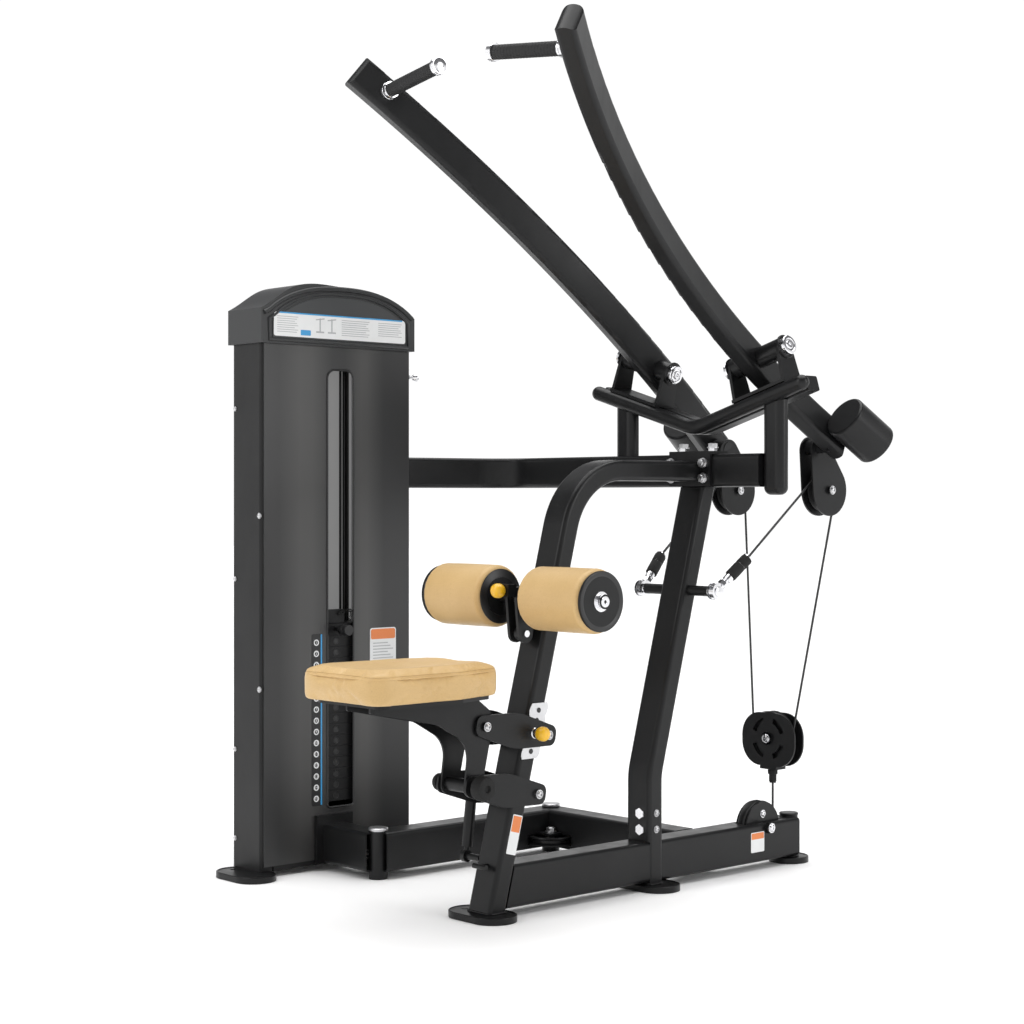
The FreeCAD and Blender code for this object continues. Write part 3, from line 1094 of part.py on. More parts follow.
def link(label, a, b, half, extra=(), pin_hole=None):
    plates = []
    for sy in (-1, 1):
        face = S.link_y + S.link_thick if sy > 0 else -S.link_y
        holes = circle(S.link_pin + S.running_gap, *a) + circle(S.link_pin + S.running_gap, *b)
        if pin_hole and sy < 0:
            holes += circle(5 + S.running_gap, *pin_hole)
        plates.append(pad("%s_plate_%d" % (label, sy > 0), lens(a, b, half, 27) + holes,
                          "link_thick", side_view(face)))
    tie_x, tie_z = b[0] + (a[0] - b[0]) * 0.28, b[1] + (a[1] - b[1]) * 0.28
    tie = cylinder(label + "_tie", "link_pin", "2*link_y + 2", (tie_x, -S.link_y - 1, tie_z), Y)
    return node(label, fuse(label + "_all", plates + [tie] + list(extra)))


gas_pin = cylinder("gas_top_stub", "link_pin - 2", "gas_y + 10 - link_y",
                   (S.gas_top_x, S.link_y + 2, S.gas_top_z), Y)
knob_spot = (115.0, 423.0)
sleeve = solid("pull_sleeve", rod(11, (knob_spot[0], -S.link_y - S.link_thick, knob_spot[1]),
                                  (knob_spot[0], -S.link_y - S.link_thick - 16, knob_spot[1])).cut(
    rod(5 + S.running_gap, (knob_spot[0], 0, knob_spot[1]), (knob_spot[0], -200, knob_spot[1]))))
link("upper_link", lug_upper, hinge_upper, 35, [gas_pin, sleeve], knob_spot)
link("lower_link", lug_lower, hinge_lower, 33)
carrier_outline = rounded([
    (hinge_lower[0] - 26, hinge_lower[1] - 22), (hinge_lower[0] + 24, hinge_lower[1] - 22),
    (hinge_upper[0] + 26, hinge_upper[1] - 10), (hinge_upper[0] + 22, hinge_upper[1] + 34),
    (cushion_x1 - 28, S.cushion_low - S.seat_plate), (cushion_x0 + 70, S.cushion_low - S.seat_plate),
    (cushion_x0 + 70, S.cushion_low - S.seat_plate - 16), (-170, 462), (hinge_upper[0] - 42, 410)],
    [18, 18, 14, 16, 2, 2, 4, 60, 60])
pieces = []
for sy in (-1, 1):
    face = S.link_y - 2 if sy > 0 else -S.link_y + 2 + S.link_thick
    pieces.append(pad("carrier_plate_%d" % (sy > 0), carrier_outline, "link_thick",
                      side_view(face)))
pieces.append(pad("seat_base", rounded([(cushion_x0 + 40, -rear_half + 30),
                                        (cushion_x1 - 130, -rear_half + 30),
                                        (cushion_x1 - 22, -front_half + 22),
                                        (cushion_x1 - 22, front_half - 22),
                                        (cushion_x1 - 130, rear_half - 30),
                                        (cushion_x0 + 40, rear_half - 30)], 24), "seat_plate",
                  Placement(Vector(0, 0, S.cushion_low - S.seat_plate), Rotation())))
for number, (hx, hz) in enumerate((hinge_upper, hinge_lower)):
    pieces.append(cylinder("carrier_pin_%d" % number, "link_pin", "120", (hx, -60, hz), Y))
    pieces.append(cylinder("carrier_tube_%d" % number, "link_pin + 8", "2*link_y - 4",
                           (hx, -S.link_y + 2, hz), Y))
node("seat_carrier", fuse("carrier", pieces))
pull = rod(5, (knob_spot[0], -S.tube_wide / 2 - 4.6, knob_spot[1]),
           (knob_spot[0], -S.link_y - S.link_thick - 20, knob_spot[1]))
pull = pull.fuse(rod(17, (knob_spot[0], -S.link_y - S.link_thick - 44, knob_spot[1]),
                     (knob_spot[0], -S.link_y - S.link_thick - 17, knob_spot[1])))
node("seat_pull_pin", solid("seat_pin", pull.removeSplitter()))

# gas spring
gas_low = Vector(S.gas_low_x, S.gas_y, S.gas_low_z)
gas_top = Vector(S.gas_top_x, S.gas_y, S.gas_top_z)
gas_dir = (gas_top - gas_low).normalize()
gas_span = (gas_top - gas_low).Length
barrel = spin("gas_barrel", rounded([(0, 22), (13, 22), (13, gas_span * 0.62),
                                     (10, gas_span * 0.62), (10, 44), (0, 44)], 0),
              Placement(gas_low, Rotation(Z, gas_dir)))
gas_neck = cylinder("gas_neck", "link_pin - 2", "13", gas_low + gas_dir * 11, gas_dir)
gas_ring = cylinder("gas_ring", "link_pin + 6", "13", gas_low - Y * 6.5, Y)
node("gas_cylinder", cut("gas_cylinder_bored", fuse("gas_cylinder_solid", [
    barrel, gas_neck, gas_ring]), [cylinder("gas_bore", "axle_radius + 4*running_gap", "40",
                                            gas_low - Y * 20, Y)]))
top_eye = rod(13, gas_top - Y * 7, gas_top + Y * 6).fuse(
    rod(5, gas_top - gas_dir * 10, gas_low + gas_dir * (gas_span * 0.42)))
node("gas_rod", solid("gas_bar", top_eye.cut(rod(S.link_pin - 2 + 0.2, gas_top - Y * 20,
                                                 gas_top + Y * 20)).removeSplitter()))

# ---------------------------------------------------------------- thigh rollers
bracket_plates = []
cheek_line = stadium(S.roller_pivot_x, S.roller_pivot_z, S.roller_x, S.roller_z, 22, 26)
for sy in (-1, 1):
    face = 20.0 if sy > 0 else -12.0
    bracket_plates.append(pad("roller_cheek_%d" % (sy > 0), cheek_line + circle(
        S.axle_radius + S.running_gap, S.roller_pivot_x, S.roller_pivot_z),
        "ear_thick - 1", side_view(face)))
pin_z = 754.0
nose = solid("roller_nose", Part.makeBox(26, 40, 30, Vector(62, -20, pin_z - 15)).cut(
    rod(8.1, (40, 0, pin_z), (120, 0, pin_z))).cut(Part.makeBox(
        14, 24, 60, Vector(74, -12, pin_z - 30))))
wings = [solid("roller_wing_%d" % (y0 > 0), Part.makeBox(46, 8, 22, Vector(70, y0, pin_z - 15)))
         for y0 in (-20, 12)]
end_discs = []
for sy in (-1, 1):
    y0 = sy * (S.roller_outer + 1)
    end_discs.append(cylinder("roller_disc_%d" % (sy > 0), "roller_radius - 6", "4",
                              (S.roller_x, y0 if sy > 0 else y0 - 4, S.roller_z), Y))
    end_discs.append(cylinder("roller_nut_%d" % (sy > 0), "roller_bar + 4", "12",
                              (S.roller_x, y0 + 4 if sy > 0 else y0 - 16, S.roller_z), Y))
    end_discs.append(cylinder("roller_inner_disc_%d" % (sy > 0), "roller_radius - 30", "4",
                              (S.roller_x, sy * (S.roller_inner - 3) - 2, S.roller_z), Y))
bar = cylinder("roller_bar_body", "roller_bar", "2*roller_outer + 8",
               (S.roller_x, -S.roller_outer - 4, S.roller_z), Y)
node("roller_bracket", fuse("roller_holder", bracket_plates + [nose, bar] + wings + end_discs))
for side in SIDES:
    y0 = S.roller_inner if side.sgn > 0 else -S.roller_outer
    long = S.roller_outer - S.roller_inner
    core = Part.makeCylinder(S.roller_radius, long, Vector(S.roller_x, y0, S.roller_z), Y)
    core = core.makeFillet(14, [e for e in core.Edges if e.Closed and abs(
        e.Length - 2 * math.pi * S.roller_radius) < 1])
    core = core.cut(Part.makeCylinder(S.roller_bar + S.running_gap, long + 20, Vector(
        S.roller_x, y0 - 10, S.roller_z), Y))
    node(side.name + "_roller", solid(side.name + "_roller_foam", core))
roller_pull = rod(8, (36, 0, pin_z), (73.5, 0, pin_z)).fuse(rod(17, (34, 0, pin_z),
                                                                (60, 0, pin_z)))
node("roller_pull_pin", solid("roller_pin", roller_pull.removeSplitter()))

# ---------------------------------------------------------------- finish
doc.recompute()
extent = FreeCAD.BoundBox()
for obj in NODES:
    extent.add(obj.Shape.BoundBox)
SHIFT = Vector(-(extent.XMin + extent.XMax) / 2, -(extent.YMin + extent.YMax) / 2, -extent.ZMin)
for obj in NODES:
    obj.Placement = Placement(SHIFT, Rotation()).multiply(obj.Placement)
doc.recompute()
faults = [o.Name for o in doc.Objects if "Invalid" in o.State or "Error" in o.State]
for obj in NODES:
    shape = obj.Shape
    if shape.isNull() or not shape.isValid() or not shape.Solids:
        faults.append(obj.Label)
assert not faults, faults
print(len(NODES), "nodes")
assert len({o.Label for o in NODES}) == len(NODES) <= 60
os.makedirs("parts", exist_ok=True)
for obj in NODES:
    obj.Shape.exportStep("parts/%s.step" % obj.Label)
print(len(NODES), "nodes, size %.0f x %.0f x %.0f" % (
    extent.XLength, extent.YLength, extent.ZLength), "shift", SHIFT)
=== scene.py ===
import json
import math
import bpy
import bmesh
from mathutils import Matrix, Vector


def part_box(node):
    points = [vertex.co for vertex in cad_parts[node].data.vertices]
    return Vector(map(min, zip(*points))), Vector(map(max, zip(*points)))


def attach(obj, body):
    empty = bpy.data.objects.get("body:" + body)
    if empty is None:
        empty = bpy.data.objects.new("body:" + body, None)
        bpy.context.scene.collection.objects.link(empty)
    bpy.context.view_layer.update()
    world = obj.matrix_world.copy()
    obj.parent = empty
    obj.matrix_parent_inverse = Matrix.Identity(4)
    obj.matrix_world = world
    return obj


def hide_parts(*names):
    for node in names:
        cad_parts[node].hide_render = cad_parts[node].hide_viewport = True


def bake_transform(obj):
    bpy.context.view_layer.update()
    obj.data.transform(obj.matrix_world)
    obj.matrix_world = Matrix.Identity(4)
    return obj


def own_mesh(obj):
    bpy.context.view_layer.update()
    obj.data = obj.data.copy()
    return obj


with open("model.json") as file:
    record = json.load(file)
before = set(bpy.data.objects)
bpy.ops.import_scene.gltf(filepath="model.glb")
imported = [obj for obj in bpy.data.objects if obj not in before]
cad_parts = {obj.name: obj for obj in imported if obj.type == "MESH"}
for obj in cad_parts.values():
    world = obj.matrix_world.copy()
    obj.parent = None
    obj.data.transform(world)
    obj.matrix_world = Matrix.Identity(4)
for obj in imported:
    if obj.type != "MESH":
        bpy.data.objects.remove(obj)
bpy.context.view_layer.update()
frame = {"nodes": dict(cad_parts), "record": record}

RECORD = frame["record"]
NODES = frame["nodes"]
MM = 0.001
X, Y, Z = Vector((1, 0, 0)), Vector((0, 1, 0)), Vector((0, 0, 1))
JOINTS = {joint["name"]: joint for joint in RECORD["behaviour"]["joints"]}
MOUNTS = {mount["name"]: Vector(mount["pos_m"]) for mount in RECORD["mounts"]}
DATUM = MOUNTS["front_foot_rest"]


def at(x, y, z):
    """A point in the machine's own millimetres, counted from the front foot's centre."""
    return DATUM + Vector((x, y, z)) * MM


def low(node):
    return Vector(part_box(node)[0])


def high(node):
    return Vector(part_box(node)[1])


def middle(node):
    return (low(node) + high(node)) / 2


def pivot(joint):
    return Vector(JOINTS[joint]["pos_m"])


# ------------------------------------------------------------------ finishes
class Wire:
    """A node socket that takes part in ordinary arithmetic."""

    def __init__(self, paint, socket):
        self.paint, self.socket = paint, socket

    def _math(self, operation, *values):
        numbered = {"_%d" % i: v for i, v in enumerate(values)}
        return self.paint.node("ShaderNodeMath", {"operation": operation}, **numbered)

    def __add__(self, other):
        return self._math("ADD", self, other)

    def __radd__(self, other):
        return self._math("ADD", other, self)

    def __sub__(self, other):
        return self._math("SUBTRACT", self, other)

    def __rsub__(self, other):
        return self._math("SUBTRACT", other, self)

    def __mul__(self, other):
        return self._math("MULTIPLY", self, other)

    def __rmul__(self, other):
        return self._math("MULTIPLY", other, self)


class Paint:
    """One node-based finish."""

    def __init__(self, name, **constants):
        self.material = bpy.data.materials.new(name)
        self.material.use_nodes = True
        self.tree = self.material.node_tree
        self.shader = self.tree.nodes["Principled BSDF"]
        for socket, value in constants.items():
            self.shader.inputs[socket.replace("_", " ")].default_value = value

    def node(self, kind, settings=None, out=0, **inputs):
        made = self.tree.nodes.new(kind)
        for key, value in (settings or {}).items():
            if key == "stops":
                ramp = made.color_ramp
                while len(ramp.elements) < len(value):
                    ramp.elements.new(0.5)
                for element, (place, colour) in zip(ramp.elements, value):
                    element.position = place
                    element.color = (*colour, 1) if len(colour) == 3 else colour
            else:
                setattr(made, key, value)
        for key, value in inputs.items():
            numbered = key[0] == "_" and key[1:].isdigit()
            self.join(made.inputs[int(key[1:])] if numbered else
                      made.inputs[key.replace("_", " ")], value)
        return Wire(self, made.outputs[out])

    def join(self, socket, value):
        if isinstance(value, Wire):
            self.tree.links.new(value.socket, socket)
        elif isinstance(value, (tuple, list)) and len(value) == 3 and socket.type == "RGBA":
            socket.default_value = (*value, 1)
        else:
            socket.default_value = value

    def place(self, stretch=(1, 1, 1)):
        spot = self.node("ShaderNodeTexCoord", out=3)
        return self.node("ShaderNodeMapping", Vector=spot, Scale=stretch)

    def noise(self, scale, detail=3.0, rough=0.55, stretch=(1, 1, 1)):
        return self.node("ShaderNodeTexNoise", Vector=self.place(stretch), Scale=scale,
                         Detail=detail, Roughness=rough)

    def cells(self, scale, feature="F1"):
        return self.node("ShaderNodeTexVoronoi", {"feature": feature}, Vector=self.place(),
                         Scale=scale)

    def fade(self, value, lo, hi):
        return self.node("ShaderNodeMapRange", {"clamp": True}, _0=value, _1=lo, _2=hi)

    def blend(self, factor, a, b):
        return self.node("ShaderNodeMix", {"data_type": "RGBA"}, out=2, _0=factor, _6=a, _7=b)

    def bump(self, height, depth, strength=1.0, under=None):
        inputs = dict(Height=height, Distance=depth, Strength=strength)
        if under is not None:
            inputs["Normal"] = under
        return self.node("ShaderNodeBump", **inputs)

    def finish(self, **links):
        for socket, value in links.items():
            self.join(self.shader.inputs[socket.replace("_", " ")], value)
        return self.material


def powder_coat(name, colour, rough, peel=1.0, coat=0.0):
    """Baked powder coat: fine orange peel, faint handling marks, a little dust."""
    paint = Paint(name, Specular_IOR_Level=0.26, Coat_Weight=coat, Coat_Roughness=0.25)
    patch = paint.fade(paint.noise(5.0, 4.0), 0.35, 0.7)
    speck = paint.fade(paint.noise(420.0, 2.0), 0.62, 0.75)
    lighter = tuple(c * 1.5 + 0.002 for c in colour)
    shade = paint.blend(patch * 0.6, colour, lighter)
    shade = paint.blend(speck * 0.25, shade, tuple(c * 2.2 + 0.006 for c in colour))
    smear = paint.fade(paint.noise(16.0, 5.0, 0.65, (1, 1, 0.35)), 0.4, 0.7)
    peel_height = paint.noise(700.0, 2.0, 0.5)
    return paint.finish(Base_Color=shade, Roughness=rough + smear * 0.09 - patch * 0.05,
                        Normal=paint.bump(peel_height, 0.00006 * peel, 0.55))


def chrome(name, colour=(0.82, 0.82, 0.84), rough=0.11, grain=1.0):
    """Polished plate with fine turning marks."""
    paint = Paint(name, Metallic=1.0)
    marks = paint.noise(260.0, 3.0, 0.6, (1, 1, 6))
    cloud = paint.fade(paint.noise(22.0, 4.0), 0.35, 0.75)
    dull = tuple(c * 0.86 for c in colour)
    return paint.finish(Base_Color=paint.blend(cloud * 0.5, colour, dull),
                        Roughness=rough + marks * 0.08 * grain + cloud * 0.04,
                        Normal=paint.bump(marks, 0.00002 * grain, 0.3))


def vinyl(name, colour, painted_crease_shade, pale):
    """Upholstery vinyl: pebble grain with painted shade in its creases, soft sheen, tone that
    wanders a little.
    """
    paint = Paint(name, Specular_IOR_Level=0.45, Coat_Weight=0.12, Coat_Roughness=0.35,
                  Sheen_Weight=0.05)
    pebble = paint.cells(520.0, "DISTANCE_TO_EDGE")
    crease = paint.fade(pebble, 0.0, 0.16)
    wander = paint.fade(paint.noise(7.0, 4.0), 0.3, 0.75)
    fine = paint.noise(900.0, 2.0)
    shade = paint.blend(wander, colour, pale)
    # painted shade: the narrow creases between pebbles are darkened towards the shade colour
    shade = paint.blend((1 - crease) * 0.45, shade, painted_crease_shade)
    first = paint.bump(crease, 0.00022, 0.5)
    return paint.finish(Base_Color=shade, Roughness=0.4 + (1 - crease) * 0.14 + wander * 0.05,
                        Normal=paint.bump(fine, 0.00006, 0.4, first))


def rubber(name, colour, rough=0.75, scale=330.0, depth=0.00025):
    paint = Paint(name, Specular_IOR_Level=0.35)
    pores = paint.cells(scale)
    dust = paint.fade(paint.noise(14.0, 4.0), 0.5, 0.8)
    pale = tuple(c * 2.2 + 0.01 for c in colour)
    return paint.finish(Base_Color=paint.blend(dust * 0.6, colour, pale),
                        Roughness=rough + dust * 0.1,
                        Normal=paint.bump(pores, depth, 0.5))


def plastic(name, colour, rough=0.32, grain=800.0, depth=0.00004, coat=0.0):
    paint = Paint(name, Specular_IOR_Level=0.5, Coat_Weight=coat, Coat_Roughness=0.12)
    texture = paint.noise(grain, 2.0)
    flow = paint.fade(paint.noise(9.0, 3.0), 0.3, 0.8)
    dark = tuple(c * 0.82 for c in colour)
    return paint.finish(Base_Color=paint.blend(flow * 0.5, colour, dark),
                        Roughness=rough + texture * 0.06, Normal=paint.bump(texture, depth, 0.5))


def cable_sheath(name):
    """Nylon-coated wire rope: the strands show as fine slanted ribs."""
    paint = Paint(name, Specular_IOR_Level=0.5)
    twist = paint.node("ShaderNodeTexWave", {"bands_direction": "DIAGONAL"},
                       Vector=paint.place(), Scale=260.0, Distortion=0.4)
    dust = paint.fade(paint.noise(30.0, 3.0), 0.4, 0.8)
    return paint.finish(Base_Color=paint.blend(dust, (0.012, 0.012, 0.013), (0.03, 0.03, 0.03)),
                        Roughness=0.38 + dust * 0.12, Normal=paint.bump(twist, 0.0002, 0.5))


def shroud_skin(name):
    """Smoked moulded panel with broad soft bands running down it; the lighter bands are painted
    reflections.
    """
    paint = Paint(name, Specular_IOR_Level=0.5, Coat_Weight=0.35, Coat_Roughness=0.3)
    spot = paint.node("ShaderNodeTexCoord", out=3)
    across = paint.node("ShaderNodeSeparateXYZ", Vector=spot)
    centre = middle("front_shroud").x
    # painted reflections: two soft lighter bands, left and right of the slot, broken up by drift
    left = 1 - paint.fade(abs_wire(across - (centre - 0.105)), 0.02, 0.085)
    right = 1 - paint.fade(abs_wire(across - (centre + 0.085)), 0.01, 0.065)
    drift = paint.fade(paint.noise(3.2, 3.0, 0.5, (1, 1, 0.6)), 0.3, 0.75)
    painted_reflection_bands = (left + right) * (0.55 + 0.45 * drift)
    shade = paint.blend(painted_reflection_bands * 0.9, (0.010, 0.010, 0.0105), (0.058, 0.057, 0.055))
    peel = paint.noise(300.0, 2.0)
    return paint.finish(Base_Color=shade, Roughness=0.34 + drift * 0.08,
                        Normal=paint.bump(peel, 0.00005, 0.4))


def abs_wire(wire):
    return wire._math("ABSOLUTE", wire)


def printed(name, colour, rough=0.35):
    paint = Paint(name, Specular_IOR_Level=0.5, Coat_Weight=0.4, Coat_Roughness=0.15)
    fade = paint.fade(paint.noise(40.0, 3.0), 0.4, 0.8)
    return paint.finish(Base_Color=paint.blend(fade * 0.35, colour, tuple(c * 0.9 for c in colour)),
                        Roughness=rough + fade * 0.08,
                        Normal=paint.bump(paint.noise(500.0), 0.00001, 0.3))


BLACK = powder_coat("black powder coat", (0.0065, 0.0066, 0.0070), 0.33)
TOWER = powder_coat("tower coat", (0.0075, 0.0075, 0.0078), 0.4)
ROLLER_CAP = plastic("dished cap plastic", (0.009, 0.009, 0.0095), 0.34)
CAP = plastic("cap plastic", (0.019, 0.020, 0.021), 0.36, 420.0, 0.00008)
CAP_PANEL = plastic("cap panel", (0.036, 0.038, 0.040), 0.4, 500.0, 0.00006)
SHROUD_PAINTED_REFLECTIONS = shroud_skin("shroud skin painted reflections")
CHROME = chrome("bright chrome")
SATIN = chrome("satin steel", (0.6, 0.6, 0.61), 0.28)
LINER_PAINTED_GLOW = plastic("slot liner painted glow", (0.26, 0.26, 0.26), 0.45)
# painted light: the slot liner gets a faint white glow (emission) so the back of the slot reads lit
LINER_PAINTED_GLOW.node_tree.nodes["Principled BSDF"].inputs["Emission Color"].default_value = (1, 1, 1, 1)
LINER_PAINTED_GLOW.node_tree.nodes["Principled BSDF"].inputs["Emission Strength"].default_value = 0.17
VINYL = vinyl("tan vinyl", (0.57, 0.375, 0.15), (0.34, 0.2, 0.07), (0.66, 0.45, 0.2))
THREAD = rubber("seam thread", (0.33, 0.2, 0.075), 0.6, 900.0, 0.0001)
RUBBER = rubber("black rubber", (0.009, 0.009, 0.009))
GRIP = rubber("grip foam", (0.011, 0.011, 0.0115), 0.62, 620.0, 0.0003)
NYLON = plastic("pulley nylon", (0.010, 0.010, 0.0105), 0.42)
CABLE = cable_sheath("cable sheath")
YELLOW = plastic("yellow knob", (0.82, 0.46, 0.012), 0.28, 900.0, 0.00002, 0.3)
IRON = powder_coat("plate iron", (0.008, 0.008, 0.0085), 0.5)
WHITE = printed("placard white", (0.78, 0.79, 0.79))
GREY_INK = printed("placard grey", (0.42, 0.43, 0.44))
BLUE = printed("blue line", (0.03, 0.3, 0.62))
ORANGE = printed("orange band", (0.75, 0.2, 0.035))

# ------------------------------------------------------------------ mesh makers


def basis(direction):
    """Two unit vectors square to a direction."""
    direction = Vector(direction).normalized()
    side = direction.cross(Z if abs(direction.z) < 0.9 else X).normalized()
    return side, direction.cross(side).normalized()


def rounded(corners, radii, steps=6):
    """Closed 2-D outline with its corners rounded."""
    count = len(corners)
    radii = radii if isinstance(radii, (list, tuple)) else [radii] * count
    outline = []
    for i in range(count):
        here = Vector(corners[i])
        back = (Vector(corners[i - 1]) - here).normalized()
        ahead = (Vector(corners[(i + 1) % count]) - here).normalized()
        turn = math.pi - back.angle(ahead)
        if radii[i] <= 0 or turn < 1e-3:
            outline.append(here)
            continue
        centre = here + (back + ahead).normalized() * (radii[i] / math.cos(turn / 2))
        start = here + back * radii[i] * math.tan(turn / 2) - centre
        spin = 1 if (-back).cross(ahead) > 0 else -1
        for k in range(steps + 1):
            angle = spin * turn * k / steps
            outline.append(centre + Matrix.Rotation(angle, 2) @ start)
    return [(p.x, p.y) for p in outline]


class Stock:
    """Collects parts of one piece before it is made."""

    def __init__(self):
        self.verts, self.faces = [], []

    def add(self, verts, faces):
        start = len(self.verts)
        self.verts += [Vector(v) for v in verts]
        self.faces += [tuple(start + i for i in face) for face in faces]
        return self

    def lathe(self, profile, origin, axis, segments=40):
        """Turns (radius, height) points in millimetres about an axis."""
        axis = Vector(axis).normalized()
        u, v = basis(axis)
        verts, faces, rings = [], [], []
        for radius, height in profile:
            base = origin + axis * height * MM
            if radius < 1e-6:
                rings.append([len(verts)])
                verts.append(base)
                continue
            rings.append(list(range(len(verts), len(verts) + segments)))
            for k in range(segments):
                angle = 2 * math.pi * k / segments
                verts.append(base + (u * math.cos(angle) + v * math.sin(angle)) * radius * MM)
        for a, b in zip(rings, rings[1:]):
            for k in range(segments):
                n = (k + 1) % segments
                if len(a) == 1 and len(b) > 1:
                    faces.append((a[0], b[n], b[k]))
                elif len(b) == 1 and len(a) > 1:
                    faces.append((a[k], a[n], b[0]))
                elif len(a) > 1:
                    faces.append((a[k], a[n], b[n], b[k]))
        return self.add(verts, faces)

    def prism(self, outline, origin, across, up, thick):
        """A flat plate in millimetres; it thickens along across x up."""
        across, up = Vector(across).normalized(), Vector(up).normalized()
        out = across.cross(up)
        count = len(outline)
        base = [origin + (across * a + up * b) * MM for a, b in outline]
        verts = base + [p + out * thick * MM for p in base]
        faces = [tuple(range(count))[::-1], tuple(range(count, 2 * count))]
        faces += [(k, (k + 1) % count, count + (k + 1) % count, count + k) for k in range(count)]
        return self.add(verts, faces)

    def tube(self, points, radius, sides=12, closed=False):
        """A round bar along points in metres; radius in millimetres."""
        points = [Vector(p) for p in points]
        count = len(points)
        verts, faces, previous = [], [], None
        for i, point in enumerate(points):
            ahead = points[(i + 1) % count] if closed or i + 1 < count else point
            behind = points[i - 1] if closed or i else point
            tangent = (ahead - behind).normalized()
            side = basis(tangent)[0] if previous is None else (
                previous - tangent * previous.dot(tangent)).normalized()
            previous = side
            other = tangent.cross(side)
            for k in range(sides):
                angle = 2 * math.pi * k / sides
                verts.append(point + (side * math.cos(angle) + other * math.sin(angle))
                             * radius * MM)
        for i in range(count if closed else count - 1):
            n = (i + 1) % count
            for k in range(sides):
                m = (k + 1) % sides
                faces.append((i * sides + k, i * sides + m, n * sides + m, n * sides + k))
        if not closed:
            faces.append(tuple(range(sides))[::-1])
            faces.append(tuple(range((count - 1) * sides, count * sides)))
        return self.add(verts, faces)

    def hexagon(self, across, thick, origin, axis):
        u, v = basis(axis)
        corner = across / math.sqrt(3)
        outline = [(corner * math.cos(k * math.pi / 3), corner * math.sin(k * math.pi / 3))
                   for k in range(6)]
        if u.cross(v).dot(Vector(axis)) < 0:
            u, v = v, u
        return self.prism(outline, origin, u, v, thick)

    def make(self, name, paint, body, slot, bevel=0.0, smooth=32):
        mesh = bpy.data.meshes.new(name)
        mesh.from_pydata([tuple(v) for v in self.verts], [], self.faces)
        mesh.validate()
        tidy = bmesh.new()
        tidy.from_mesh(mesh)
        bmesh.ops.recalc_face_normals(tidy, faces=tidy.faces)
        tidy.to_mesh(mesh)
        tidy.free()
        mesh.materials.append(paint)
        mesh.shade_smooth()
        mesh.set_sharp_from_angle(angle=math.radians(smooth))
        piece = bpy.data.objects.new(name, mesh)
        bpy.context.scene.collection.objects.link(piece)
        if bevel:
            soften(piece, bevel)
        if body:
            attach(piece, body)
        return piece


def soften(piece, width, segments=2):
    bevel = piece.modifiers.new("edge", "BEVEL")
    bevel.width = width * MM
    bevel.segments = segments
    bevel.limit_method = "ANGLE"
    bevel.angle_limit = math.radians(38)
    bevel.harden_normals = True


def button_head(stock, origin, axis, radius=11.0, tall=6.0, socket=3.6):
    """Domed socket screw with a washer under it."""
    washer = radius * 1.28
    profile = [(0, -1.0), (washer, -1.0), (washer, 1.2), (radius, 1.2), (radius, 1.8),
               (radius * 0.93, 1.8 + tall * 0.45), (radius * 0.72, 1.8 + tall * 0.82),
               (radius * 0.45, 1.8 + tall), (socket, 1.8 + tall), (socket, 1.8 + tall * 0.4),
               (0, 1.8 + tall * 0.35)]
    return stock.lathe(profile, origin, axis, 28)


def hex_head(stock, origin, axis, across=22.0, tall=9.0):
    stock.lathe([(0, -1), (across * 0.68, -1), (across * 0.68, 1.8), (0, 1.8)], origin, axis, 28)
    stock.hexagon(across, tall, origin + Vector(axis).normalized() * 1.6 * MM, axis)
    return stock.lathe([(0, tall), (across * 0.42, tall), (across * 0.36, tall + 1.6),
                        (0, tall + 1.8)], origin + Vector(axis).normalized() * 1.6 * MM, axis, 28)


# ------------------------------------------------------------------ CAD nodes
for name, node in NODES.items():
    node.data.shade_smooth()
    node.data.set_sharp_from_angle(angle=math.radians(28))

FINISH = {
    "tower_frame": TOWER, "front_shroud": SHROUD_PAINTED_REFLECTIONS, "rear_shroud": TOWER, "tower_cap": CAP,
    "guide_rods": SATIN, "weight_plates": IRON, "top_plate": IRON, "frame_bolts": CHROME,
    "left_handle": CHROME, "right_handle": CHROME, "left_rod_end": CHROME,
    "right_rod_end": CHROME, "gas_rod": SATIN, "left_grip": GRIP, "right_grip": GRIP,
    "seat_pull_pin": YELLOW, "roller_pull_pin": YELLOW, "selector_pin": ROLLER_CAP,
}
for name, node in NODES.items():
    if name.endswith("_pulley"):
        FINISH[name] = NYLON
    node.data.materials.clear()
    node.data.materials.append(FINISH.get(name, BLACK))

# ------------------------------------------------------------------ seat cushion
FIRST_SEAM, PAD_INSET = 18.0, 7.0


def cushion_outline(inset):
    lo, hi = low("seat_cushion"), high("seat_cushion")
    length = (hi.x - lo.x) / MM
    wide = (hi.y - lo.y) / MM / 2
    narrow = 115.0
    corners = [(inset, -wide + inset), (length - 140, -wide + inset),
               (length - inset, -narrow + inset), (length - inset, narrow - inset),
               (length - 140, wide - inset), (inset, wide - inset)]
    return rounded(corners, [50 - inset, 90, 40 - inset, 40 - inset, 90, 50 - inset], 7)


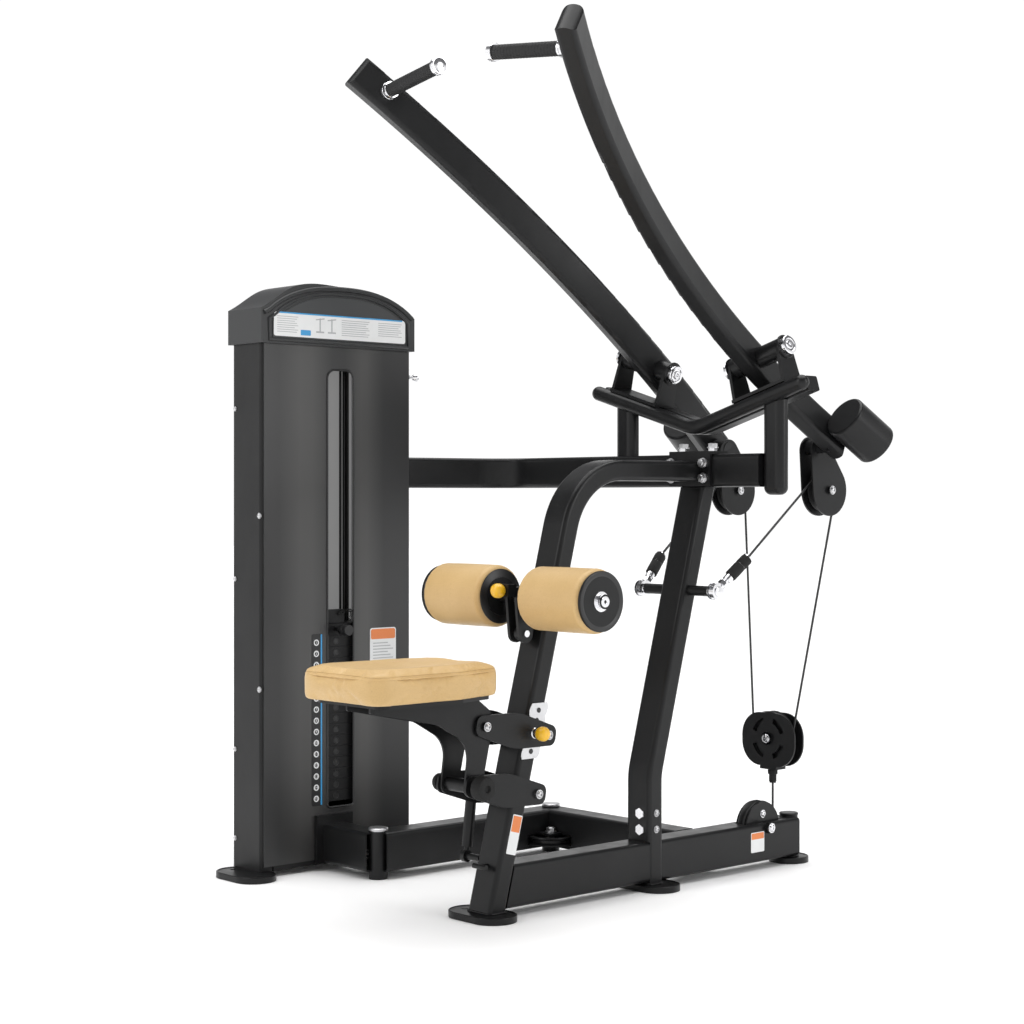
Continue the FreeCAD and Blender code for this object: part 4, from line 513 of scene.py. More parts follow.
def make_cushion():
    lo, hi = low("seat_cushion"), high("seat_cushion")
    centre = middle("seat_cushion")
    tall = (hi.z - lo.z) / MM
    rings = [(16, 0.5), (PAD_INSET + 2, 3.0), (PAD_INSET, 12.0), (PAD_INSET, tall - 26),
             (PAD_INSET + 3, tall - 13), (14, tall - 7.5), (34, tall - 4.0)]
    verts, faces = [], []
    for inset, height in rings:
        for a, b in cushion_outline(inset):
            verts.append(Vector((lo.x + a * MM, centre.y + b * MM, lo.z + height * MM)))
    count = len(verts) // len(rings)
    for ring in range(len(rings) - 1):
        for k in range(count):
            n = (k + 1) % count
            faces.append((ring * count + k, ring * count + n, (ring + 1) * count + n,
                          (ring + 1) * count + k))
    faces.append(tuple(range(count))[::-1])
    faces.append(tuple(range((len(rings) - 1) * count, len(rings) * count)))
    stock = Stock().add(verts, faces)
    piece = stock.make("seat_cushion_cover", VINYL, "seat_body", "tan_vinyl", smooth=60)
    rest_floor = lo.z + 2 * MM
    remesh = piece.modifiers.new("voxels", "REMESH")
    remesh.mode = "VOXEL"
    remesh.voxel_size = 0.005
    apply_modifier(piece)
    inflate(piece, rest_floor)
    # the seat's top sags a little along its middle, and sits flat on its board
    for vert in piece.data.vertices:
        across = (vert.co.y - centre.y) / (hi.y - lo.y)
        along = (vert.co.x - lo.x) / (hi.x - lo.x)
        top = max(0.0, (vert.co.z - (lo.z + 0.05)) / 0.03)
        dip = math.exp(-(across / 0.24) ** 2) * math.exp(-((along - 0.5) / 0.38) ** 2)
        vert.co.z -= 0.011 * dip * min(1.0, top)
        vert.co.z = min(max(vert.co.z, lo.z), hi.z + 0.004)
    subdivide = piece.modifiers.new("smooth", "SUBSURF")
    subdivide.levels = subdivide.render_levels = 1
    apply_modifier(piece)
    piece.data.shade_smooth()
    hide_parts("seat_cushion")
    # piping and stitches follow the cover's own surface a little below the top edge
    seam_z = hi.z - FIRST_SEAM * MM
    outline = cushion_outline(PAD_INSET)
    loop = []
    for a, b in outline:
        start = Vector((lo.x + a * MM, centre.y + b * MM, seam_z))
        outward = Vector((start.x - centre.x, start.y - centre.y, 0)).normalized()
        hit, spot, normal, _ = piece.ray_cast(start + outward * 0.06, -outward)
        loop.append(spot - normal * 0.0004 if hit else start)
    closed = resample(loop, 260)
    Stock().tube(closed, 1.5, 8, closed=True).make(
        "seat_piping", VINYL, "seat_body", "tan_vinyl")
    stitches = Stock()
    above = [p + Vector((0, 0, 0.0052)) for p in closed]
    for k in range(0, len(above) - 1):
        a = above[k]
        b = above[k].lerp(above[k + 1], 0.62)
        hits = []
        for p in (a, b):
            outward = Vector((p.x - centre.x, p.y - centre.y, 0)).normalized()
            hit, spot, normal, _ = piece.ray_cast(p + outward * 0.05, -outward)
            hits.append(spot + normal * 0.0001 if hit else p)
        stitches.tube(hits, 0.55, 5)
    stitches.make("seat_stitches", THREAD, "seat_body", "tan_vinyl")
    return piece


def resample(points, count):
    """Even points round a closed loop."""
    loop = points + [points[0]]
    lengths = [0.0]
    for a, b in zip(loop, loop[1:]):
        lengths.append(lengths[-1] + (b - a).length)
    result, i = [], 0
    for k in range(count):
        want = lengths[-1] * k / count
        while lengths[i + 1] < want:
            i += 1
        span = max(lengths[i + 1] - lengths[i], 1e-9)
        result.append(loop[i].lerp(loop[i + 1], (want - lengths[i]) / span))
    return result


def apply_modifier(piece):
    bpy.context.view_layer.update()
    depsgraph = bpy.context.evaluated_depsgraph_get()
    fresh = bpy.data.meshes.new_from_object(piece.evaluated_get(depsgraph))
    old = piece.data
    for material in old.materials:
        if material.name not in [m.name for m in fresh.materials if m]:
            fresh.materials.append(material)
    piece.modifiers.clear()
    piece.data = fresh
    bpy.data.meshes.remove(old)


def inflate(piece, floor, reach=0.007):
    """Fills the cover with a short pressure run, then holds how far it may swell."""
    before = [v.co.copy() for v in piece.data.vertices]
    cloth = piece.modifiers.new("cloth", "CLOTH")
    cloth.settings.use_pressure = True
    cloth.settings.uniform_pressure_force = 4.0
    cloth.settings.effector_weights.gravity = 0.0
    cloth.settings.quality = 4
    cloth.settings.tension_stiffness = 25
    cloth.settings.compression_stiffness = 25
    for step in range(1, 15):
        bpy.context.scene.frame_set(step)
    apply_modifier(piece)
    bpy.context.scene.frame_set(1)
    for vert, old in zip(piece.data.vertices, before):
        move = vert.co - old
        if move.length > reach:
            vert.co = old + move * (reach / move.length)
        if vert.co.z < floor + 0.006:
            vert.co.z = old.z


make_cushion()

# ------------------------------------------------------------------ thigh rollers
for side, sgn in (("left", 1), ("right", -1)):
    node = side + "_roller"
    lo, hi = low(node), high(node)
    centre = middle(node)
    half = (hi.y - lo.y) / MM / 2
    full = (hi.z - lo.z) / MM / 2
    bore = 13.2
    profile = [(bore, -half + 6), (bore + 16, -half + 4), (full - 22, -half + 1.5)]
    for k in range(9):
        angle = math.pi / 2 * k / 8
        profile.append((full - 17 + 16 * math.sin(angle), -half + 16 - 14.5 * math.cos(angle)))
    for k in range(1, 24):
        along = k / 24
        swell = 1.0 + 0.6 * math.sin(math.pi * along)
        profile.append((full - 1.6 + swell - 0.6, -half + 16 + (2 * half - 32) * along))
    for k in range(9):
        angle = math.pi / 2 * k / 8
        profile.append((full - 17 + 16 * math.cos(angle), half - 16 + 14.5 * math.sin(angle)))
    profile += [(full - 22, half - 1.5), (bore + 16, half - 4), (bore, half - 6), (bore, -half + 6)]
    cover = Stock().lathe(profile, centre, Y, 96).make(
        side + "_roller_cover", VINYL, side + "_roller_body", "tan_vinyl", smooth=50)
    for vert in cover.data.vertices:
        spoke = vert.co - centre
        end = abs(spoke.y) / (half * MM)
        angle = math.atan2(spoke.x, spoke.z)
        if end > 0.84 and math.hypot(spoke.x, spoke.z) > 0.05:
            pucker = 0.0006 * math.sin(angle * 26 + 1.3 * sgn) * (end - 0.84) / 0.16
            vert.co += Vector((spoke.x, 0, spoke.z)).normalized() * pucker
    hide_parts(node)
    # seam along the back; caps on each end
    seam = [centre + Vector(((full - 0.4) * MM * math.sin(2.5), y * MM,
                             (full - 0.4) * MM * math.cos(2.5)))
            for y in [(-half + 17) + (2 * half - 34) * k / 20 for k in range(21)]]
    Stock().tube(seam, 0.9, 6).make(side + "_roller_seam", THREAD, side + "_roller_body",
                                    "tan_vinyl")
    for end in (-1, 1):
        outer = end == sgn
        face = centre + Y * (end * (half - 1.5) * MM)
        dish = [(0, 2.5), (16, 2.5), (18, 4.0), (30, 2.2), (full - 30, 1.8), (full - 21, 5.5),
                (full - 13, 8.5), (full - 8, 8.0), (full - 6.5, 5.0), (full - 8, -1),
                (0, -1)]
        if outer:
            Stock().lathe(dish, face, Y * end, 72).make(
                side + "_roller_end_cap", ROLLER_CAP, "roller_bracket_body", "black_powder_coat",
                smooth=40)
            bracket = low("roller_bracket").y if end < 0 else high("roller_bracket").y
            out = abs(bracket - face.y) / MM
            nut = Stock().lathe([(0, 2), (25, 2), (25, 5), (22.5, 7), (17, 7.5), (17, out - 3),
                                 (15.5, out - 1), (13, out - 0.6), (12.2, out + 0.8), (8, out + 1.2),
                                 (4.4, out + 0.9), (3.2, out - 1), (0, out - 1.2)], face, Y * end,
                                44)
            nut.make(side + "_roller_end_nut", CHROME, "roller_bracket_body", "bolt_chrome")
        else:
            small = [(0, -1), (full - 12, -1), (full - 10, 1.5), (full - 13, 3.2), (0, 3.2)]
            Stock().lathe(small, face, Y * end, 60).make(
                side + "_roller_inner_cap", ROLLER_CAP, "roller_bracket_body",
                "black_powder_coat", smooth=40)

# ------------------------------------------------------------------ pull knobs and pins


def pull_knob(name, origin, axis, body, node):
    """Round yellow head on a chrome sleeve."""
    head = [(0, -2), (10, -2), (12, 0), (14.5, 3), (16.8, 8), (17.2, 14), (16.4, 20), (13.5, 25),
            (8, 28), (0, 29)]
    knob = Stock().lathe(head, origin, axis, 48).make(name, YELLOW, body, "yellow_plastic")
    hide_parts(node)
    Stock().lathe([(0, -34), (7.4, -34), (7.4, -1), (0, -1)], origin, axis, 32).make(
        name + "_stem", CHROME, body, "bolt_chrome")
    return knob


pin = middle("seat_pull_pin")
seat_knob_face = Vector((pin.x, low("seat_pull_pin").y + 29 * MM, pin.z))
pull_knob("seat_knob", seat_knob_face, -Y, "seat_pull_pin_body", "seat_pull_pin")
Stock().lathe([(7.6, 0), (13, 0), (13, 6), (11.5, 7.5), (11.5, 15), (7.6, 16)],
              Vector((pin.x, low("upper_link").y + 18 * MM, pin.z)), -Y, 36).make(
    "seat_knob_sleeve", CHROME, "upper_link_body", "bolt_chrome")
pin = middle("roller_pull_pin")
pull_knob("roller_knob", Vector((low("roller_pull_pin").x + 27 * MM, pin.y, pin.z)), -X,
          "roller_pull_pin_body", "roller_pull_pin")

# ------------------------------------------------------------------ arms: caps, grips, bolts
for side, sgn in (("left", 1), ("right", -1)):
    joint = JOINTS[side + "_arm_swing"]
    hinge = Vector(joint["pos_m"])
    out = Vector(joint["axis"]) * -sgn
    caps = Stock()
    for reach, direction in ((97 + 4.5 + 14.3, out), (66 + 4.5 + 14.3, -out)):
        face = hinge + direction * (reach - 1.5) * MM
        caps.lathe([(0, 0), (23.4, 0), (24.2, 1.2), (24.2, 2.6), (22.4, 4.2), (17, 4.8),
                    (15.5, 3.4), (11.5, 3.2), (10, 5.0), (6.5, 5.6), (4.6, 5.2), (3.2, 2.4),
                    (0, 2.2)], face, direction, 56)
        caps.lathe([(24.4, -12.5), (25.4, -11.8), (25.4, -9.6), (24.4, -9)], face, direction, 56)
    caps.make(side + "_pivot_caps", CHROME, "frame", "bolt_chrome")
    rings = Stock()
    for reach, direction in ((97 + 4.5, out), (66 + 4.5, -out)):
        face = hinge + direction * (reach + 0.3) * MM
        rings.lathe([(23.2, -0.2), (30, -0.2), (30, 2.4), (28.5, 3.6), (23.2, 3.6)], face,
                    direction, 56)
    rings.make(side + "_pivot_rings", BLACK, "frame", "black_powder_coat")
    wheel = middle(side + "_arm_pulley")
    studs = Stock()
    for end in (-1, 1):
        button_head(studs, wheel + Y * end * 28.6 * MM, Y * end, 9, 5, 3.2)
    studs.make(side + "_pulley_bolts", SATIN, side + "_arm_body", "bolt_chrome")
    # handle end: stepped chrome collar and knob
    grip_lo, grip_hi = low(side + "_grip"), high(side + "_grip")
    reach = Vector((-27, -sgn * 250, 26)).normalized()
    centre = (grip_lo + grip_hi) / 2
    half_grip = 97.2 * MM
    collars = Stock()
    tip = centre + reach * half_grip
    collars.lathe([(12, 0), (20.4, 0), (21.4, 1.4), (21.4, 5.5), (19.4, 7), (19.4, 9.5),
                   (20.6, 10.5), (20.6, 12.6), (17.5, 14.4), (8, 15.2), (6.2, 13.8), (0, 13.6)],
                  tip, reach, 48)
    root = centre - reach * half_grip
    collars.lathe([(12, 0), (19.8, 0), (20.8, 1.4), (20.8, 7), (18.4, 8.6), (18.4, 12),
                   (20.8, 13.4), (20.8, 19), (16.5, 21), (12, 21)], root, -reach, 48)
    collars.make(side + "_handle_collars", CHROME, side + "_arm_body", "bolt_chrome")
    ribs = Stock()
    for k in range(20):
        spot = centre + reach * (k - 9.5) * 9.2 * MM
        ribs.lathe([(15.8, -1.6), (16.9, -0.7), (16.9, 0.7), (15.8, 1.6)], spot, reach, 40)
    ribs.make(side + "_grip_ribs", GRIP, side + "_arm_body", "grip_rubber")
    # black sleeve and thimble on the turnbuckle
    ball = pivot(side + "_rod_end_tilt")
    bend = Vector((93, sgn * 25, 83)).normalized()
    sleeve = Stock().lathe([(9.2, 56), (14.6, 57), (15.2, 59), (15.2, 92), (14, 96), (15.2, 99),
                            (15.2, 121), (12.5, 127.5), (5, 128.5), (3.4, 126)], ball, bend, 36)
    sleeve.make(side + "_rod_sleeve", RUBBER, side + "_rod_body", "grip_rubber")
    shine = Stock()
    shine.lathe([(0, -15.6), (9, -15.6), (13, -14), (13, -10.5), (21.5, -10), (21.5, -8.5)],
                ball, Y, 40)
    shine.lathe([(21.5, 8.5), (21.5, 10), (13, 10.5), (13, 14), (9, 15.6), (0, 15.6)], ball, Y, 40)
    shine.lathe([(9.3, 22), (12.6, 23), (12.6, 33), (9.3, 34)], ball, bend, 6)
    shine.lathe([(9.3, 40), (11.4, 41), (11.4, 55), (9.3, 56)], ball, bend, 32)
    shine.make(side + "_rod_chrome", CHROME, side + "_rod_body", "bolt_chrome")

# ------------------------------------------------------------------ cables
CABLE_R = 3.0


def run(name, points, body, *nodes):
    piece = Stock().tube(points, CABLE_R, 12).make(name, CABLE, body, "cable_sheath", smooth=60)
    if nodes:
        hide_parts(*nodes)
    return piece


def straight(a, b, count=24):
    return [a.lerp(b, k / count) for k in range(count + 1)]


def arc(centre, start, u, v, sweep, count=18):
    """Points round a wheel: start angle 0 lies along u and turns towards v."""
    radius = (start - centre).length
    return [centre + (u * math.cos(sweep * k / count) + v * math.sin(sweep * k / count)) * radius
            for k in range(count + 1)]


for side, sgn in (("left", 1), ("right", -1)):
    wheel = middle(side + "_arm_pulley")
    ball = pivot(side + "_rod_end_tilt")
    bend = Vector((93, sgn * 25, 83))
    tip = ball + bend * MM
    axis = Vector(JOINTS[side + "_cable_pay_out"]["axis"])
    reach = (wheel - tip).dot(axis)
    touch = tip + axis * reach
    touch.y = wheel.y
    run(side + "_front_run_fixed", straight(tip - bend.normalized() * 4 * MM, touch),
        side + "_rod_body")
    run(side + "_front_run_sliding", straight(tip + axis * 2 * MM, touch),
        side + "_cable_body", side + "_cable_front")
    foot = Vector((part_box("float_cable_loop")[0][0] / 2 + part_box("float_cable_loop")[1][0] / 2,
                   sgn * 65 * MM + DATUM.y, middle("floating_pulley").z))
    away = touch - wheel
    radius = away.length
    front_angle = math.atan2(away.z, away.x)
    flat = Vector((foot.x - wheel.x, 0, foot.z - wheel.z))
    swing = math.acos(min(1, radius / flat.length))
    rear_angle = math.atan2(flat.z, flat.x) + swing
    if math.cos(rear_angle) < 0:
        rear_angle = math.atan2(flat.z, flat.x) - swing
    spread = (front_angle - rear_angle) % (2 * math.pi)
    over = [wheel + Vector((math.cos(front_angle - spread * k / 24), 0,
                            math.sin(front_angle - spread * k / 24))) * radius
            for k in range(25)]
    drop = run(side + "_drop_run", straight(over[-1], foot, 48), side + "_drop_body",
               side + "_cable_drop")
    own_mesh(drop)
    run(side + "_wheel_wrap", over, side + "_arm_body")

loop_centre = middle("floating_pulley")
loop_centre = Vector((middle("float_cable_loop").x, loop_centre.y, loop_centre.z))
run("float_loop", arc(loop_centre, loop_centre + Y * 65 * MM, Y, -Z, math.pi, 40),
    "floating_body", "float_cable_loop")

base = middle("base_pulley")
stem = Vector((loop_centre.x, loop_centre.y, low("floating_carriage").z))
line_z = base.z - (stem.x - base.x)
guide = (middle("junction_pulley"), middle("corner_pulley_rear"), middle("corner_pulley_front"))
guide_r = 55 * MM
stack = middle("top_plate")
low_wheel, top_wheel = middle("tower_base_pulley"), middle("tower_top_pulley")
rise_y = low_wheel.y + guide_r
top_r = rise_y - top_wheel.y
q = math.pi / 2
path = arc(base, stem.copy() - Z * (stem.z - base.z), X, -Z, q)
path += arc(guide[0], guide[0] - Y * guide_r, -Y, -X, q)
path += arc(guide[1], guide[1] + X * guide_r, X, Y, q)
path += arc(guide[2], guide[2] - Y * guide_r, -Y, -X, q)
path += arc(low_wheel, low_wheel - Z * guide_r, -Z, Y, q)
path += arc(top_wheel, top_wheel + Y * top_r, Y, Z, math.pi)
run("stack_cable_path", path, "frame", "stack_cable")
lift = run("float_down_run", straight(Vector((stem.x, stem.y, base.z)), stem + Z * 4 * MM, 40),
           None)
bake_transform(lift)
head = Vector((stack.x, top_wheel.y - top_r, high("top_plate").z))
drop = run("stack_down_run", straight(Vector((head.x, head.y, top_wheel.z)), head - Z * 6 * MM, 60),
           None)
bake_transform(drop)

# ------------------------------------------------------------------ floating carriage and base
float_x = loop_centre.x
studs = Stock()
for end in (-1, 1):
    button_head(studs, loop_centre + X * end * 25.2 * MM, X * end, 13, 7, 4.5)
button_head(studs, Vector((float_x, loop_centre.y, loop_centre.z)) - X * 25.2 * MM, -X, 13, 7, 4.5)
studs.make("float_bolts", CHROME, "floating_body", "bolt_chrome")
Stock().lathe([(9.2, 0), (13, 0), (13, 10), (10, 12), (10, 30), (6, 33), (3.2, 33)],
              Vector((float_x, loop_centre.y, low("floating_carriage").z + 34 * MM)), -Z,
              32).make("float_stem_sleeve", RUBBER, "floating_body", "grip_rubber")
base_bolts = Stock()
for end in (-1, 1):
    button_head(base_bolts, base + Y * end * 18.2 * MM + Z * 34 * MM, Y * end, 8, 5, 3)
    button_head(base_bolts, Vector((base.x, base.y + end * 49 * MM, base.z)), Y * end, 10, 5, 3.4)
base_bolts.make("base_pulley_bolts", CHROME, "frame", "bolt_chrome")

# ------------------------------------------------------------------ seat linkage hardware
links = Stock()
for joint in ("seat_height", "lower_link_turn"):
    for end in (-1, 1):
        button_head(links, pivot(joint) + Y * end * 58.5 * MM, Y * end, 8.4, 5.0, 3.2)
links.make("link_bolts", SATIN, "frame", "bolt_chrome")
front = Stock()
for joint_x, joint_z in ((pivot("seat_level").x, pivot("seat_level").z),
                         (pivot("lower_link_turn").x - 0.193, pivot("lower_link_turn").z + 0.034)):
    for end in (-1, 1):
        button_head(front, Vector((joint_x, DATUM.y + end * 58.5 * MM, joint_z)), Y * end, 8.4,
                    5.0, 3.2)
front.make("carrier_bolts", SATIN, "seat_body", "bolt_chrome")
stop = Vector((pivot("lower_link_turn").x - 0.193, DATUM.y, pivot("lower_link_turn").z + 0.034))
for end, radius, long in ((-1, 28, 30), (1, 20, 16)):
    start = stop + Y * end * 66 * MM
    Stock().lathe([(0, 0), (radius - 2, 0), (radius, 2), (radius, long - 7), (radius - 3, long - 2),
                   (radius - 8, long), (9, long), (7, long - 5), (0, long - 5)], start, Y * end,
                  48).make("seat_bumper_%s" % ("near" if end < 0 else "far"), RUBBER, "seat_body",
                           "grip_rubber")

# silver locking plate with its row of holes, on the near side of the post
LEAN = math.radians(14.87)
POST_FOOT_X = 8.65


def post_mid(z):
    return POST_FOOT_X + math.tan(LEAN) * z


lock_y = -43.5
plate = []
heights = [363 + 128 * k / 16 for k in range(17)]
left_edge = [(post_mid(h) - 23 - 5 * abs(math.sin(math.pi * k / 4)), h)
             for k, h in enumerate(heights)]
right_edge = [(post_mid(h) + 25 + 5 * abs(math.sin(math.pi * k / 4)), h)
              for k, h in enumerate(heights)]
outline = left_edge[::-1] + right_edge
origin = at(0, lock_y + 0.05, 0)
Stock().prism(outline, origin, X, Z, 1.4).make("lock_plate_face", SATIN, "frame", "bolt_chrome",
                                               bevel=0.4)
holes = Stock()
for k in range(5):
    h = 380 + 23.5 * k
    holes.lathe([(0, 0), (5.4, 0), (6.2, 0.5), (0, 0.5)], at(post_mid(h) + 1, lock_y - 1.4, h), -Y,
                28)
holes.make("lock_plate_holes", ROLLER_CAP, "frame", "black_powder_coat")

# ------------------------------------------------------------------ base details
caps = Stock()
for name, spot in (("front", (121, 541)), ("rear", (725, 541))):
    caps.lathe([(0, -3), (24.6, -3), (25.4, -1.5), (25.4, 3), (23.5, 5.2), (0, 6.2)],
               at(spot[0], spot[1], 125), Z, 56)
caps.make("side_post_caps", SATIN, "frame", "bolt_chrome")
Stock().lathe([(0, -3), (24.8, -3), (25.4, -1.5), (25.4, 1), (23, 3), (0, 3.6)],
              at(1089, 0, 127), Z, 56).make("rear_post_cap", BLACK, "frame", "black_powder_coat")
rims = Stock()
for x, y, half_run in ((0, 0, 37.5), (545, 0, 37.5), (-128, 768, 37.5)):
    loop = []
    for k in range(64):
        angle = 2 * math.pi * k / 64
        shift = half_run if math.sin(angle) >= 0 else -half_run
        loop.append(at(x + 52.4 * math.cos(angle), y + shift + 52.4 * math.sin(angle), 13.6))
    rims.tube(loop, 2.2, 8, closed=True)
loop = [at(1089 + 50 * math.cos(2 * math.pi * k / 64), 50 * math.sin(2 * math.pi * k / 64), 13.6)
        for k in range(64)]
rims.tube(loop, 2.2, 8, closed=True)
rims.make("foot_rims", BLACK, "frame", "black_powder_coat")
anchors = Stock()
for x, y in ((0, 62), (0, -62), (545, 62), (545, -62), (-128, 706)):
    anchors.lathe([(0, 0.2), (8.5, 0.2), (8.5, 0.9), (0, 0.9)], at(x, y, 14), Z, 28)
anchors.make("foot_hole_plugs", ROLLER_CAP, "frame", "black_powder_coat")
bolts = Stock()
for z in (150, 190):
    button_head(bolts, at(537, -40, z), -Y, 7, 4.5, 2.8)
bolts.make("upright_bolts", SATIN, "frame", "bolt_chrome")
for cx, cy in ((775, 55), (665, 477), (196, 587)):
    cap = Stock()
    hex_head(cap, at(cx, cy, 66), Z, 22, 9)
    cap.make("guide_wheel_bolt_%d" % cx, SATIN, "frame", "bolt_chrome")

# weld beads where the round posts and the tubes meet the floor beams
beads = Stock()


def bead(points, radius=2.6, closed=True):
    lumpy = []
    for k, p in enumerate(points):
        lumpy.append(p + Vector((0, 0, 0.0004 * math.sin(k * 1.9))))
    beads.tube(lumpy, radius, 8, closed=closed)


for x in (0, 545, 1089):
    if x == 1089:
        ring = [at(x + 25.5 * math.cos(2 * math.pi * k / 48), 25.5 * math.sin(2 * math.pi * k / 48),
                   15.5) for k in range(48)]
    else:
        mid_x = post_mid(15) if x == 0 else 537
        half_x = 27.0 if x == 0 else 26.2
        corners = rounded([(-half_x, -40.5), (half_x, -40.5), (half_x, 40.5), (-half_x, 40.5)], 11,
                          6)
        ring = [at(mid_x + a, b, 15.5) for a, b in corners]
    bead(ring)
beads.make("weld_beads", BLACK, "frame", "black_powder_coat")

# ------------------------------------------------------------------ saddle and lateral beam
clamp = Stock()
for y in (-50, 50):
    hex_head(clamp, at(733, y, 1097), Z, 21, 9)
    for z in (1020, 1058):
        hex_head(clamp, at(690.5, y * 1.1, z), -X, 19, 8)
clamp.make("saddle_bolts", SATIN, "frame", "bolt_chrome")
tower_joint = Stock()
for z in (1018, 1059):
    button_head(tower_joint, at(380.5, 775, z), X, 9, 5, 3.2)
tower_joint.make("tower_joint_bolts", SATIN, "frame", "bolt_chrome")

# ------------------------------------------------------------------ tower trim
front_y = (low("front_shroud").y - DATUM.y) / MM
SLOT_LEFT, SLOT_RIGHT, SLOT_LOW, SLOT_HIGH = 102, 188, 160, 1305
slot = rounded([(SLOT_LEFT, SLOT_LOW), (SLOT_RIGHT, SLOT_LOW), (SLOT_RIGHT, SLOT_HIGH),
                (SLOT_LEFT, SLOT_HIGH)], [9, 9, 24, 24], 9)
ring = [at(a, front_y - 0.2, b) for a, b in slot]
Stock().tube(ring, 3.0, 10, closed=True).make("slot_rim", ROLLER_CAP, "frame", "pin_black")
slot_mid = (145.0, 732.0)
edge = []
p_lo, p_hi = low("front_shroud"), high("front_shroud")
bounds_2d = [(p_lo.x - DATUM.x) / MM, (p_hi.x - DATUM.x) / MM, (p_lo.z - DATUM.z) / MM,
             (p_hi.z - DATUM.z) / MM]
dense = []
for k, (a, b) in enumerate(slot):
    c, d = slot[(k + 1) % len(slot)]
    steps = max(1, int(math.hypot(c - a, d - b) / 60))
    dense += [(a + (c - a) * i / steps, b + (d - b) * i / steps) for i in range(steps)]
for a, b in dense:
    reach_x = (bounds_2d[1] if a > slot_mid[0] else bounds_2d[0])
    top = b > 1290
    bottom = b < 175
    if top or bottom:
        t = (a - 102) / 86
        edge.append((bounds_2d[0] + t * (bounds_2d[1] - bounds_2d[0]),
                     bounds_2d[3] if top else bounds_2d[2]))
    else:
        t = (b - 175) / (1290 - 175)
        edge.append((reach_x, bounds_2d[2] + t * (bounds_2d[3] - bounds_2d[2])))
count = len(dense)
skin = Stock()
verts = [at(a, front_y, b) for a, b in dense] + [at(a, front_y, b) for a, b in edge]
verts += [v + Y * 4 * MM for v in verts]
faces = []
for k in range(count):
    n = (k + 1) % count
    faces += [(k, n, count + n, count + k), (2 * count + k, 3 * count + k, 3 * count + n,
                                             2 * count + n),
              (k, 2 * count + k, 2 * count + n, n), (count + k, count + n, 3 * count + n,
                                                     3 * count + k)]
panel_skin = skin.add(verts, faces).make("front_shroud_skin", SHROUD_PAINTED_REFLECTIONS, "frame", "tower_coat")
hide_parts("front_shroud")
rods = Stock()
for x, r in ((232, 3.5), (246, 6), (257, 3)):
    rods.tube([at(x, 846, 640), at(x, 846, 1350)], r, 16)
rods.make("slot_guides", ROLLER_CAP, "frame", "pin_black")
# light grey backing behind the slot, made to look lit by the liner's painted glow
back = Stock().prism([(0, 640), (338, 640), (338, 1350), (0, 1350)], at(0, 856, 0), X, Z, 1.2)
back.make("slot_backing_painted_light", LINER_PAINTED_GLOW, "frame", "tower_coat")
strip = Stock().prism(rounded([(52, 168), (86, 168), (86, 616), (52, 616)], 5, 5),
                      at(0, front_y + 0.1, 0), X, Z, 0.8)
strip.make("number_strip", ROLLER_CAP, "frame", "pin_black")
Stock().prism([(80, 170), (84.5, 170), (84.5, 614), (80, 614)], at(0, front_y - 0.6, 0), X, Z,
              0.5).make("number_strip_line", BLUE, "frame", "pin_black")
marks = Stock()
for k in range(15):
    z = 187 + 29 * k
    marks.lathe([(5.2, 0), (8.2, 0), (8.2, 0.7), (5.2, 0.7), (5.2, 0)],
                at(66, front_y - 0.6, z), -Y, 28)
marks.make("number_rings", WHITE, "frame", "pin_black")
for k in range(15):
    curve = bpy.data.curves.new("weight_number_%02d" % (k + 1), "FONT")
    curve.body = str(15 - k)
    curve.size = 0.0095
    curve.extrude = 0.0002
    curve.align_x = "CENTER"
    curve.align_y = "CENTER"
    curve.materials.append(WHITE)
    label = bpy.data.objects.new("weight_number_%02d" % (k + 1), curve)
    bpy.context.scene.collection.objects.link(label)
    label.rotation_euler = (math.pi / 2, 0, 0)
    label.location = at(66, front_y - 0.9, 187 + 29 * k)
    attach(label, "frame")
plate_edges = Stock()
for k in range(15):
    z = 173 + 29 * k + 14.2
    plate_edges.lathe([(0, 0), (7.2, 0), (7.2, 0.6), (8.4, 0.9), (9.2, 0.4), (9.2, 0), (7.2, -0.5)],
                      at(141, 745, z), -Y, 24)
plate_edges.make("plate_hole_rims", ROLLER_CAP, "frame", "stack_iron")
screws = Stock()
for z in (924, 481):
    button_head(screws, at(-105, 742, z), -X, 6, 3, 2)
for z in (90, 320, 760, 1200):
    button_head(screws, at(-105, 850, z), -X, 5, 2.5, 1.8)
screws.make("tower_side_screws", SATIN, "frame", "bolt_chrome")
Stock().lathe([(0, -2), (9, -2), (9, 2), (4.5, 3), (4.5, 16), (6, 17), (10.5, 24), (11, 30),
               (9.5, 32), (0, 32.6)], at(381, 742, 1296), X, 40).make(
    "tower_side_stud", CHROME, "frame", "bolt_chrome")
warning = at(243, front_y - 0.25, 531)
Stock().prism(rounded([(0, 0), (88, 0), (88, 92), (0, 92)], 7, 5), warning, X, Z, 0.6).make(
    "tower_label", WHITE, "frame", "pin_black")
Stock().prism(rounded([(3, 62), (85, 62), (85, 89), (3, 89)], 5, 5), warning - Y * 0.6 * MM, X, Z,
              0.4).make("tower_label_band", ORANGE, "frame", "pin_black")
bars = Stock()
for k in range(6):
    bars.prism([(10, 10 + 8 * k), (78 - 9 * (k % 3), 10 + 8 * k), (78 - 9 * (k % 3), 12.6 + 8 * k),
                (10, 12.6 + 8 * k)], warning - Y * 0.6 * MM, X, Z, 0.4)
bars.make("tower_label_bars", GREY_INK, "frame", "pin_black")

